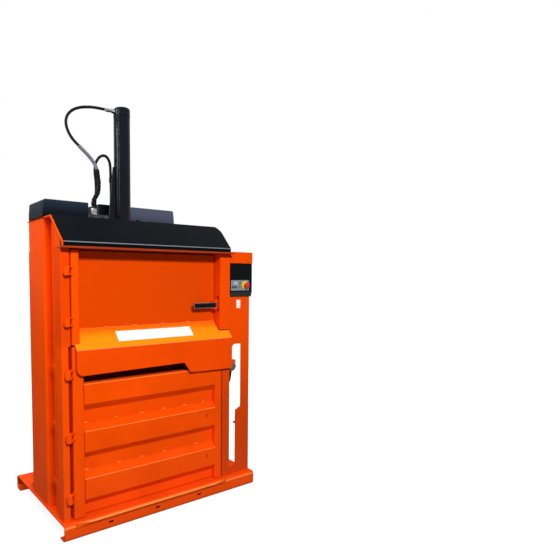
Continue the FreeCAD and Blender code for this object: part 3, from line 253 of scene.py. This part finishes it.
sleeve_piece = tube_piece("hose_wear_sleeve", sleeve_points, sleeve_radii)
hang_tube(sleeve_piece, sleeve_nylon)
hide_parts("hose_sleeve")

# the spiral guard: it starts inside the sleeve's end, and its turns show as a light ripple
guard_top = 2.398
guard_radius, guard_ripple, guard_turn = 0.0118, 0.0005, 2.2
guard_points = long_line[sleeve_last - 2:index_above(long_line, guard_top)]
guard_radii = [guard_radius + guard_ripple * math.sin(i * guard_turn) for i in range(len(guard_points))]
guard_piece = tube_piece("hose_spiral_guard", guard_points, guard_radii)
hang_tube(guard_piece, sleeve_spiral)
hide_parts("grey_sleeve")

short_line = hose_line("short_hose_line", short_route)
short_piece = tube_piece("pressure_hose_short", short_line, [hose_radius] * len(short_line))
hang_tube(short_piece, hose_rubber)
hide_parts("short_hose")


# ------------------------------------------------------------------ base and frame
# The base with its feet, the sill, the chamber's floor and walls, the side columns and the beamed
# rear wall. Steel sheet, folded and welded into one frame, then powder coated in a saturated orange.
def powder_coat(name, colour, peel=0.0035, gloss=0.40, sheen=0.015, relief=0.12, dust=0.1,
                shelf=None, upper=None, upper_from=None, painted_fold_light="#FF8A45"):
    """Powder coat on steel. It flows a little in the oven, so it has a faint orange peel, peel
    metres across, rounded edges, and a tone that drifts a little over each sheet. gloss is its
    roughness and sheen its specular level. dust is how much of it is dusty at the floor. shelf
    holds two colours painted on faces that look up, as light from above, low and high on the
    feed door's shelf. upper is a colour and the two heights between which it takes over, only
    right of upper_from where that is given; here it mostly carries painted shade or light. bend
    is a highlight painted along a fold's rounded upper half, as the light it would catch."""
    tone_scale = 2.3                            # patches about 430 mm across
    cloud_scale = 9.0                           # patches about 110 mm across
    edge_radius = 0.0028
    peel_height = 0.0004
    shelf_low, shelf_high = 1.168, 1.217
    shelf_tilt, up_tilt = 0.5, 0.6              # tilts are a normal's z: 0 upright, 1 face up
    fold_begins, fold_full, fold_ends, fold_over = 0.06, 0.14, 0.5, 0.58
    fold_strength = 0.85
    dust_top, dust_colour = 0.5, "#A5664E"
    fade_width = 0.02
    material, tree = new_material(name)
    place = add(tree, "ShaderNodeTexCoord").outputs["Object"]
    spot = add(tree, "ShaderNodeSeparateXYZ", {0: place})
    facing = add(tree, "ShaderNodeSeparateXYZ", {0: add(tree, "ShaderNodeNewGeometry").outputs["Normal"]})

    drift = add(tree, "ShaderNodeTexNoise", {"Vector": place, "Scale": tone_scale, "Detail": 3.0,
                                             "Roughness": 0.6})
    tone = add(tree, "ShaderNodeMapRange", {"Value": drift.outputs[0], "From Min": 0.3, "From Max": 0.7,
                                            "To Min": 0.9, "To Max": 1.07})
    paint = add(tree, "ShaderNodeHueSaturation", {"Value": tone.outputs[0],
                                                  "Color": linear(colour)}).outputs[0]
    # painted light: faces that look up are coloured lighter, as if lit from above
    if shelf:
        looks_up = add(tree, "ShaderNodeMapRange", {"Value": facing.outputs["Z"], "From Min": shelf_tilt,
                                                    "From Max": up_tilt}, interpolation_type="SMOOTHSTEP")
        rise = add(tree, "ShaderNodeMapRange", {"Value": spot.outputs["Z"], "From Min": shelf_low,
                                                "From Max": shelf_high})
        painted_up_light = add(tree, "ShaderNodeMix", {"Factor": rise.outputs[0], "A": linear(shelf[0]),
                                           "B": linear(shelf[1])}, data_type="RGBA")
        paint = add(tree, "ShaderNodeMix", {"Factor": looks_up.outputs[0], "A": paint,
                                            "B": painted_up_light.outputs["Result"]}, data_type="RGBA").outputs["Result"]
    # painted highlight: a pale line along the upper half of each fold
    if painted_fold_light:
        past_flat = add(tree, "ShaderNodeMapRange", {"Value": facing.outputs["Z"], "From Min": fold_begins,
                                                     "From Max": fold_full, "To Max": fold_strength})
        before_top = add(tree, "ShaderNodeMapRange", {"Value": facing.outputs["Z"], "From Min": fold_over,
                                                      "From Max": fold_ends})
        painted_fold_mask = add(tree, "ShaderNodeMath", {0: past_flat.outputs[0], 1: before_top.outputs[0]},
                     operation="MULTIPLY")
        paint = add(tree, "ShaderNodeMix", {"Factor": painted_fold_mask.outputs[0], "A": paint,
                                            "B": linear(painted_fold_light)}, data_type="RGBA").outputs["Result"]
    # a colour that takes over between two heights; here it mostly carries painted shade or light
    if upper:
        upper_colour, begins, ends = upper
        grown = add(tree, "ShaderNodeMapRange", {"Value": spot.outputs["Z"], "From Min": begins,
                                                 "From Max": ends}, interpolation_type="SMOOTHSTEP")
        if upper_from is not None:
            right = add(tree, "ShaderNodeMapRange", {"Value": spot.outputs["X"], "From Min": upper_from,
                                                     "From Max": upper_from + fade_width})
            grown = add(tree, "ShaderNodeMath", {0: grown.outputs[0], 1: right.outputs[0]},
                        operation="MULTIPLY")
        paint = add(tree, "ShaderNodeMix", {"Factor": grown.outputs[0], "A": paint,
                                            "B": linear(upper_colour)}, data_type="RGBA").outputs["Result"]
    cloud = add(tree, "ShaderNodeTexNoise", {"Vector": place, "Scale": cloud_scale, "Detail": 5.0,
                                             "Roughness": 0.65})
    if dust:
        low = add(tree, "ShaderNodeMapRange", {"Value": spot.outputs["Z"], "From Min": 0.0,
                                               "From Max": dust_top, "To Min": dust, "To Max": 0.0})
        settled = add(tree, "ShaderNodeMath", {0: cloud.outputs[0], 1: low.outputs[0]}, operation="MULTIPLY")
        paint = add(tree, "ShaderNodeMix", {"Factor": settled.outputs[0], "A": paint,
                                            "B": linear(dust_colour)}, data_type="RGBA").outputs["Result"]

    matt = add(tree, "ShaderNodeMapRange", {"Value": cloud.outputs[0], "To Min": gloss - 0.05,
                                            "To Max": gloss + 0.12})
    edge = add(tree, "ShaderNodeBevel", {"Radius": edge_radius}, samples=4)
    ripple = add(tree, "ShaderNodeTexNoise", {"Vector": place, "Scale": 1 / peel, "Detail": 2.0})
    bump = add(tree, "ShaderNodeBump", {"Strength": relief, "Distance": peel_height,
                                        "Height": ripple.outputs[0], "Normal": edge.outputs[0]})
    coat = add(tree, "ShaderNodeBsdfPrincipled", {"Base Color": paint, "Roughness": matt.outputs[0],
                                                  "IOR": 1.5, "Specular IOR Level": sheen,
                                                  "Normal": bump.outputs[0]})
    add(tree, "ShaderNodeOutputMaterial", {"Surface": coat.outputs[0]})
    return material


def dress(material, *names):
    """Gives CAD nodes their material."""
    for name in names:
        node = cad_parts[name]
        node.data.materials.clear()
        node.data.materials.append(material)


# the frame's coat: a deep saturated orange with hardly any gloss, with a pale highlight painted along its
# folds
orange_coat = powder_coat("orange_powder_coat", "#F44E04")
dress(orange_coat, "base_frame", "chamber_floor", "left_column", "right_column", "left_chamber_wall",
      "right_chamber_wall", "rear_wall")
# painted light: the sill's up-facing slope is coloured paler, as if lit from above, and its fold carries a
# painted highlight
dress(powder_coat("orange_powder_coat_sill", "#F65A0C", gloss=0.36, sheen=0.03, dust=0.0,
                  shelf=("#FF9040", "#FF9040"), painted_fold_light="#FFB070"), "floor_nose")


# ------------------------------------------------------------------ front posts and hinges
# Two folded posts welded up the front corners. The left one carries the knuckles and pins that
# both doors turn on, with small gussets behind it, and the right one the lug of the latch.

# painted shade: the hinge post is coloured a little darker and redder above the bale door, as if shaded by
# the feed door's stile
dress(powder_coat("orange_powder_coat_post", "#F44E04", upper=("#E64403", 1.10, 1.16)), "hinge_post")
# painted shade: this coat is coloured browner towards the floor, where the light falls off, and is a little
# duller; it is fresh orange from the shelf's height up
shaded_low_coat = powder_coat("orange_powder_coat_shaded_low", "#CE420A", gloss=0.44,
                        upper=("#F24C04", 0.50, 1.20))
dress(shaded_low_coat, "latch_post")
dress(orange_coat, "hinge_knuckles", "hinge_pins")


# ------------------------------------------------------------------ head
# Two steel plates with channels and cheeks welded between them, which carry the press cylinder.
# The top plate runs down in front as a slope, and the front cover lies on it.

# painted shade: the lower plate's thin front edge hangs under the cover, and is coloured dark red as if in
# the cover's shadow
dress(powder_coat("orange_powder_coat_shaded_edge", "#A53D1C", dust=0.0, painted_fold_light=None), "head_bottom_plate")
# painted shade: the slope's lowest edge is coloured that dark red too, and is bright orange from there up
dress(powder_coat("orange_powder_coat_head", "#A53D1C", dust=0.0,
                  upper=("#F44E04", 1.7065, 1.7075)), "head_top_plate")
dress(orange_coat, "crossbeam_channels", "head_cheeks")


# ------------------------------------------------------------------ press cylinder, rod and plate
# A drawn steel tube with a welded cap and flange, bolted to the head. Its ground and chromed rod
# pushes the press plate, a welded box of beams that slides between the walls on plastic pads.
def bright_metal(name, colour, roughness, grain, relief):
    """Bare or plated metal with fine marks, grain metres apart and drawn out upwards, that break
    up its shine."""
    drawn_out = (1.0, 1.0, 0.12)
    edge_radius, mark_depth = 0.0012, 0.0002
    material, tree = new_material(name)
    place = add(tree, "ShaderNodeTexCoord").outputs["Object"]
    lines = add(tree, "ShaderNodeMapping", {"Vector": place, "Scale": drawn_out})
    marks = add(tree, "ShaderNodeTexNoise", {"Vector": lines.outputs[0], "Scale": 1 / grain, "Detail": 4.0})
    rough = add(tree, "ShaderNodeMapRange", {"Value": marks.outputs[0], "To Min": roughness - 0.08,
                                             "To Max": roughness + 0.14})
    edge = add(tree, "ShaderNodeBevel", {"Radius": edge_radius}, samples=4)
    bump = add(tree, "ShaderNodeBump", {"Strength": relief, "Distance": mark_depth,
                                        "Height": marks.outputs[0], "Normal": edge.outputs[0]})
    metal = add(tree, "ShaderNodeBsdfPrincipled", {"Base Color": linear(colour), "Metallic": 1.0,
                                                   "Roughness": rough.outputs[0],
                                                   "Normal": bump.outputs[0]})
    add(tree, "ShaderNodeOutputMaterial", {"Surface": metal.outputs[0]})
    return material


def moulded(name, colour, roughness, texture, relief, sheen=0.5):
    """Plastic with the fine grain of its mould, texture metres across, and a slightly cloudy
    tone. sheen is its specular level."""
    cloud_scale = 60.0                          # patches about 17 mm across
    edge_radius, grain_height = 0.0010, 0.0002
    material, tree = new_material(name)
    place = add(tree, "ShaderNodeTexCoord").outputs["Object"]
    grains = add(tree, "ShaderNodeTexVoronoi", {"Vector": place, "Scale": 1 / texture})
    cloud = add(tree, "ShaderNodeTexNoise", {"Vector": place, "Scale": cloud_scale, "Detail": 3.0})
    tone = add(tree, "ShaderNodeMapRange", {"Value": cloud.outputs[0], "To Min": 0.92, "To Max": 1.08})
    shade = add(tree, "ShaderNodeHueSaturation", {"Value": tone.outputs[0], "Color": linear(colour)})
    edge = add(tree, "ShaderNodeBevel", {"Radius": edge_radius}, samples=4)
    bump = add(tree, "ShaderNodeBump", {"Strength": relief, "Distance": grain_height,
                                        "Height": grains.outputs[0], "Normal": edge.outputs[0]})
    rough = add(tree, "ShaderNodeMapRange", {"Value": cloud.outputs[0], "To Min": roughness - 0.04,
                                             "To Max": roughness + 0.06})
    plastic = add(tree, "ShaderNodeBsdfPrincipled", {"Base Color": shade.outputs[0],
                                                     "Roughness": rough.outputs[0], "IOR": 1.49,
                                                     "Specular IOR Level": sheen,
                                                     "Normal": bump.outputs[0]})
    add(tree, "ShaderNodeOutputMaterial", {"Surface": plastic.outputs[0]})
    return material


# black enamel: deep and smooth, so that it mirrors the lamps as long soft streaks
dress(powder_coat("black_gloss_enamel", "#090E16", peel=0.04, gloss=0.08, sheen=0.11, relief=0.02,
                  dust=0.0, painted_fold_light=None), "cylinder", "return_pipe")
# black powder coat: almost no shine on its flats, and a grey highlight painted along its folds
black_coat = powder_coat("black_powder_coat", "#070B0F", peel=0.0030, sheen=0.02, dust=0.0, painted_fold_light="#7C828A")
dress(black_coat, "cylinder_flange", "flange_bolts")
# zinc plate: a mid grey shine, broken up by fine marks
dress(bright_metal("zinc_plated_steel", "#85878B", roughness=0.30, grain=0.004, relief=0.25), "rod_gland")
# ground hard chrome: close to a mirror
dress(bright_metal("ground_hard_chrome", "#D2D3D5", roughness=0.12, grain=0.002, relief=0.05), "piston_rod")
dress(orange_coat, "platen")
# machined polyamide: waxy off-white with a dull grain
dress(moulded("polyamide_slide_pad", "#D8D4C4", roughness=0.50, texture=0.0012, relief=0.2),
      "platen_guide_pads")


# ------------------------------------------------------------------ power unit and valves
# A finned electric motor with its pump lies across the head's rear, and the oil tank stands at its
# left. The valves screw into a machined block between them, and the hoses into plated fittings.

# cabinet grey: a satin mid grey
cabinet_coat = powder_coat("grey_cabinet_coat", "#8A8D90", peel=0.0030, gloss=0.45, sheen=0.3, painted_fold_light=None)
dress(cabinet_coat, "pump_motor", "oil_tank")
# machined aluminium: dark and oily, with the cutter's marks
dress(bright_metal("machined_aluminium", "#4A4D52", roughness=0.40, grain=0.003, relief=0.3), "valve_block")
# blackened steel: a dark shine at the cartridges' hexagons
dress(bright_metal("dark_valve_steel", "#55575B", roughness=0.34, grain=0.004, relief=0.3),
      "valve_cartridges")
# new zinc plate: bright, as small lights beside the black hoses
dress(bright_metal("new_zinc_plated_steel", "#B4B6BA", roughness=0.26, grain=0.004, relief=0.25),
      "hose_fittings")


# ------------------------------------------------------------------ covers
# Thin sheet covers, folded with rounded bends and powder coated black: one over the head's slope
# in front, one on the left over the tank, and one behind over the motor.
dress(black_coat, "front_cover")
# painted light: the left cover is coloured bluer and lighter towards its top, as if lit from above
dress(powder_coat("black_powder_coat_hood", "#0E1218", peel=0.0030, sheen=0.02, dust=0.0,
                  upper=("#263140", 1.90, 2.03), painted_fold_light=None), "left_head_cover")
# painted light: the rear cover is coloured lighter and bluer still towards its top, but only on its part
# right of the cylinder; its coat is a little glossier
dress(powder_coat("black_powder_coat_rear", "#0E1217", peel=0.0030, gloss=0.34, sheen=0.06, dust=0.0,
                  upper=("#465468", 1.86, 2.03), upper_from=-0.05, painted_fold_light=None), "rear_cover")


# ------------------------------------------------------------------ bale door
# The strong lower door: three folded trapezoid beams and two stiles, stitch welded to a plate and
# coated with the frame's orange.
dress(orange_coat, "bale_door_plate", "bale_door_beams", "bale_door_left_stile", "bale_door_right_stile")


def bead_tree():
    """Geometry nodes that lay one rippled weld bead on every point, long along the front. Each
    differs a little in length and height, as beads laid by hand do."""
    ripple_scale = 320.0                        # ripples about 3 mm apart
    least, most = (0.7, 0.85, 0.85), (1.25, 1.1, 1.1)
    tree = bpy.data.node_groups.new("stitch_welds", "GeometryNodeTree")
    named_inputs = (("Points", "Geometry"), ("Bead Length", "Float"), ("Bead Width", "Float"),
                    ("Ripple", "Float"), ("Seed", "Int"), ("Coat", "Material"))
    for name, kind in named_inputs:
        tree.interface.new_socket(name, in_out="INPUT", socket_type="NodeSocket" + kind)
    tree.interface.new_socket("Beads", in_out="OUTPUT", socket_type="NodeSocketGeometry")
    given = add(tree, "NodeGroupInput").outputs
    size = add(tree, "ShaderNodeCombineXYZ", {0: given["Bead Length"], 1: given["Bead Width"],
                                              2: given["Bead Width"]})
    ball = add(tree, "GeometryNodeMeshUVSphere", {"Segments": 16, "Rings": 8, "Radius": 0.5})
    bead = add(tree, "GeometryNodeTransform", {"Geometry": ball.outputs["Mesh"], "Scale": size.outputs[0]})
    vary = add(tree, "FunctionNodeRandomValue", {"Min": least, "Max": most, "Seed": given["Seed"]},
               data_type="FLOAT_VECTOR")
    laid = add(tree, "GeometryNodeInstanceOnPoints", {"Points": given["Points"],
                                                      "Instance": bead.outputs[0],
                                                      "Scale": vary.outputs[0]})
    solid = add(tree, "GeometryNodeRealizeInstances", {"Geometry": laid.outputs[0]})
    waves = add(tree, "ShaderNodeTexNoise", {"Scale": ripple_scale, "Detail": 1.0})
    rise = add(tree, "ShaderNodeMath", {0: waves.outputs[0], 1: given["Ripple"]}, operation="MULTIPLY")
    outward = add(tree, "ShaderNodeVectorMath", {0: add(tree, "GeometryNodeInputNormal").outputs[0],
                                                 "Scale": rise.outputs[0]}, operation="SCALE")
    rippled = add(tree, "GeometryNodeSetPosition", {"Geometry": solid.outputs[0],
                                                    "Offset": outward.outputs[0]})
    coated = add(tree, "GeometryNodeSetMaterial", {"Geometry": rippled.outputs[0],
                                                   "Material": given["Coat"]})
    add(tree, "NodeGroupOutput", {"Beads": coated.outputs[0]})
    return tree


def lay_beads(name, centres, length, width, seed, body):
    """A plain mesh of weld beads at the centres, coated with its door and hung on it."""
    points = bpy.data.meshes.new(name + "_points")
    points.from_pydata([at(*centre) for centre in centres], [], [])
    holder = bpy.data.objects.new(name + "_points", points)
    bpy.context.scene.collection.objects.link(holder)
    layer = holder.modifiers.new("beads", "NODES")
    layer.node_group = beads
    values = {"Bead Length": length, "Bead Width": width, "Ripple": bead_ripple, "Seed": seed,
              "Coat": bead_coat}
    for item in beads.interface.items_tree:
        if item.in_out == "INPUT" and item.name in values:
            layer[item.identifier] = values[item.name]
    mesh = plain_copy(holder)
    mesh.name = name
    bpy.data.objects.remove(holder)
    bpy.data.meshes.remove(points)
    mesh.shade_smooth()
    piece = bpy.data.objects.new(name, mesh)
    bpy.context.scene.collection.objects.link(piece)
    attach(piece, body)


beads = bead_tree()
bead_ripple = 0.0012
# coat on the weld beads: glossier than the door's, and painted a paler orange as a highlight, so that each
# bead shows as a small pale light
bead_coat = powder_coat("orange_powder_coat_beads", "#FF8442", gloss=0.25, sheen=0.3, dust=0.0, painted_fold_light=None)
# one row above the middle beam and one above the lowest, where their flanks meet the plate
plate_front, upper_row, lower_row = 83, 660, 372
beam_beads = [(x, plate_front, upper_row) for x in (172, 381, 563, 736, 904, 1060)]
beam_beads += [(x, plate_front, lower_row) for x in (175, 395, 560, 737, 1000)]
lay_beads("bale_door_welds", beam_beads, length=0.032, width=0.006, seed=3, body="bale_door")


# ------------------------------------------------------------------ latch
# A steel shaft in the right post's lug, with a round hand boss in front and a dark tapered lever
# that hangs from it behind the lug.

# worn zinc plate: warm grey, rubbed where it turns
worn_zinc = bright_metal("worn_zinc_plated_steel", "#9A9088", roughness=0.34, grain=0.004, relief=0.3)
dress(worn_zinc, "latch_spindle")
# glass-filled nylon: nearly black and matt, with a fine grain
grip_nylon = moulded("black_glass_filled_nylon", "#0A0A0C", roughness=0.50, texture=0.0012, relief=0.1,
                     sheen=0.1)
dress(grip_nylon, "latch_lever")


# ------------------------------------------------------------------ feed door
# The upper door, folded from one sheet: panel, sloped shelf and notched lip. Short weld beads lie
# along the shelf's inner fold, a blank enamelled plate on the shelf, and a handle is pinned at the
# panel's right.

# the door's orange is a touch deeper than the frame's. Above the shelf the panel is coloured darker and
# redder still, as painted shade under the head, and the shelf's up-facing faces are painted yellow as light
# from above, more so towards the lip
dress(powder_coat("orange_powder_coat_door", "#F04A04", gloss=0.36, sheen=0.02, dust=0.0,
                  shelf=("#FF8C10", "#F26205"), upper=("#DC4503", 1.222, 1.232)), "feed_door_panel")
dress(orange_coat, "feed_door_stile", "handle_bracket")
# white enamel: smooth and just off white
white_enamel = powder_coat("white_enamelled_plate", "#F6F5F1", peel=0.0050, gloss=0.30, sheen=0.3,
                           dust=0.0, painted_fold_light=None)
dress(white_enamel, "shelf_plate")
dress(worn_zinc, "handle_lever")
dress(grip_nylon, "handle_grip")
fold_y, fold_z = 106, 1225
shelf_beads = [(x, fold_y, fold_z) for x in (324, 528, 740, 948)]
lay_beads("feed_door_welds", shelf_beads, length=0.036, width=0.007, seed=5, body="feed_door")


# ------------------------------------------------------------------ control column and box
# A slotted steel column at the right, tied to the head by an arm. It carries the grey electric
# cabinet behind, and in front the black cover with the panel, two keys and the stop button.
# the column takes the coat with painted shade towards the floor
dress(shaded_low_coat, "control_column")
dress(orange_coat, "control_arm")
dress(cabinet_coat, "electric_cabinet")
# the cover is black, and its foot below the panel a dull olive grey
dress(powder_coat("black_powder_coat_control", "#33352C", peel=0.0030, gloss=0.34, sheen=0.04,
                  dust=0.0, upper=("#0C0F12", 1.425, 1.428), painted_fold_light=None), "control_cover")
# printed polyester film: cool satin grey with a very fine texture
dress(moulded("grey_printed_polyester", "#7D848E", roughness=0.38, texture=0.0009, relief=0.1),
      "control_panel")
# clear acrylic over a display that is off: pale, smooth and shiny
dress(moulded("display_acrylic", "#A9B3BE", roughness=0.12, texture=0.004, relief=0.02), "display_window")
# unlit lamps: dark and a little shiny
dress(moulded("dark_key_cap", "#22242A", roughness=0.30, texture=0.0012, relief=0.1), "panel_lamps")
# dyed key caps: strong green and blue, satin from finger wear
dress(moulded("green_key_cap", "#1C8A45", roughness=0.28, texture=0.0012, relief=0.1), "green_key")
dress(moulded("blue_key_cap", "#2A58A8", roughness=0.28, texture=0.0012, relief=0.1), "blue_key")
# ABS: a bright satin yellow collar, and a shinier red button
dress(moulded("yellow_abs", "#E9C81C", roughness=0.30, texture=0.0015, relief=0.08), "stop_collar")
dress(moulded("red_abs", "#D21F2B", roughness=0.24, texture=0.0015, relief=0.05), "stop_button")
dress(white_enamel, "small_plate")


# ------------------------------------------------------------------ floor
# A plain pale studio floor that takes the machine's shadow. To the camera it also glows, more with
# distance, until it ends in the white background. Under the machine it doesn't, so gaps stay dark.
floor_reach = 30.0
floor_drop = 0.001
glow_near, glow_far = 0.84, 1.0
glow_begins, glow_ends = 1.2, 4.0
dark_half_width, dark_half_depth = 0.60, 0.42
floor_mesh = bpy.data.meshes.new("floor")
shape = bmesh.new()
bmesh.ops.create_grid(shape, x_segments=1, y_segments=1, size=floor_reach)
shape.to_mesh(floor_mesh)
shape.free()
floor = bpy.data.objects.new("floor", floor_mesh)
bpy.context.scene.collection.objects.link(floor)
floor.location = (0, 0, -floor_drop)

# matt floor paint: a light grey that shows soft shadows and no reflections
floor_paint, tree = new_material("pale_floor")
matt = add(tree, "ShaderNodeBsdfDiffuse", {"Color": linear("#8C8C8C")})
place = add(tree, "ShaderNodeTexCoord").outputs["Object"]
distance = add(tree, "ShaderNodeVectorMath", {0: place}, operation="LENGTH")
strength = add(tree, "ShaderNodeMapRange", {"Value": distance.outputs["Value"], "From Min": glow_begins,
                                            "From Max": glow_ends, "To Min": glow_near, "To Max": glow_far})
glow = add(tree, "ShaderNodeEmission", {"Color": (1, 1, 1, 1), "Strength": strength.outputs[0]})
spot = add(tree, "ShaderNodeSeparateXYZ", {0: place})
beyond = []
for side, half in (("X", dark_half_width), ("Y", dark_half_depth)):
    off_middle = add(tree, "ShaderNodeMath", {0: spot.outputs[side]}, operation="ABSOLUTE")
    past = add(tree, "ShaderNodeMath", {0: off_middle.outputs[0], 1: half}, operation="GREATER_THAN")
    beyond.append(past.outputs[0])
outside = add(tree, "ShaderNodeMath", {0: beyond[0], 1: beyond[1]}, operation="MAXIMUM")
seen = add(tree, "ShaderNodeLightPath").outputs["Is Camera Ray"]
glows = add(tree, "ShaderNodeMath", {0: seen, 1: outside.outputs[0]}, operation="MULTIPLY")
glowing = add(tree, "ShaderNodeAddShader", {0: matt.outputs[0], 1: glow.outputs[0]})
blended = add(tree, "ShaderNodeMixShader", {"Fac": glows.outputs[0], 1: matt.outputs[0],
                                            2: glowing.outputs[0]})
add(tree, "ShaderNodeOutputMaterial", {"Surface": blended.outputs[0]})
floor_mesh.materials.append(floor_paint)


# ------------------------------------------------------------------ background
# White where the camera, a reflection or glass sees it. As a light it is dim and faintly warm,
# and only fills the shadows.
fill_strength, fill_colour = 0.15, (1.0, 0.99, 0.97, 1)
world = bpy.data.worlds.new("studio")
bpy.context.scene.world = world
world.use_nodes = True
tree = world.node_tree
tree.nodes.clear()
paths = add(tree, "ShaderNodeLightPath").outputs
seen = add(tree, "ShaderNodeMath", {0: paths["Is Camera Ray"], 1: paths["Is Transmission Ray"]},
           operation="MAXIMUM")
seen = add(tree, "ShaderNodeMath", {0: seen.outputs[0], 1: paths["Is Glossy Ray"]}, operation="MAXIMUM")
fill = add(tree, "ShaderNodeBackground", {"Color": fill_colour, "Strength": fill_strength})
white = add(tree, "ShaderNodeBackground", {"Color": (1, 1, 1, 1), "Strength": 1.0})
both = add(tree, "ShaderNodeMixShader", {"Fac": seen.outputs[0], 1: fill.outputs[0], 2: white.outputs[0]})
add(tree, "ShaderNodeOutputWorld", {"Surface": both.outputs[0]})


# ------------------------------------------------------------------ lamps
# Soft panels: a large one high in front, one behind and a weak one overhead, which show in no
# reflection, and two narrow upright ones at the left that draw the streaks on the black tube.
def lamp(name, place, aim, width, height, power, streak=False):
    """A panel of width by height metres that faces aim. A streak lamp shows in reflections."""
    data = bpy.data.lights.new(name, "AREA")
    data.shape = "RECTANGLE"
    data.size, data.size_y = width, height
    data.energy = power
    panel = bpy.data.objects.new(name, data)
    bpy.context.scene.collection.objects.link(panel)
    panel.location = place
    panel.rotation_euler = (Vector(aim) - Vector(place)).to_track_quat("-Z", "Y").to_euler()
    panel.visible_glossy = streak


lamp("front_ceiling_panel", (-1.3, -5.0, 4.1), (-0.7, -0.4, 0.4), width=2.0, height=0.6, power=316)
lamp("left_panel", (-2.9, 0.4, 3.2), (-0.5, 0, 2.3), width=0.2, height=1.4, power=50, streak=True)
lamp("left_front_streak", (-2.95, -1.05, 3.2), (-0.1, 0, 2.4), width=0.08, height=1.3, power=16,
     streak=True)
lamp("rear_panel", (2.2, 3.2, 3.0), (0, 0.3, 1.1), width=1.6, height=1.2, power=170)
lamp("overhead_panel", (-0.2, -0.3, 4.4), (-0.1, -0.3, 1.0), width=1.6, height=0.8, power=30)
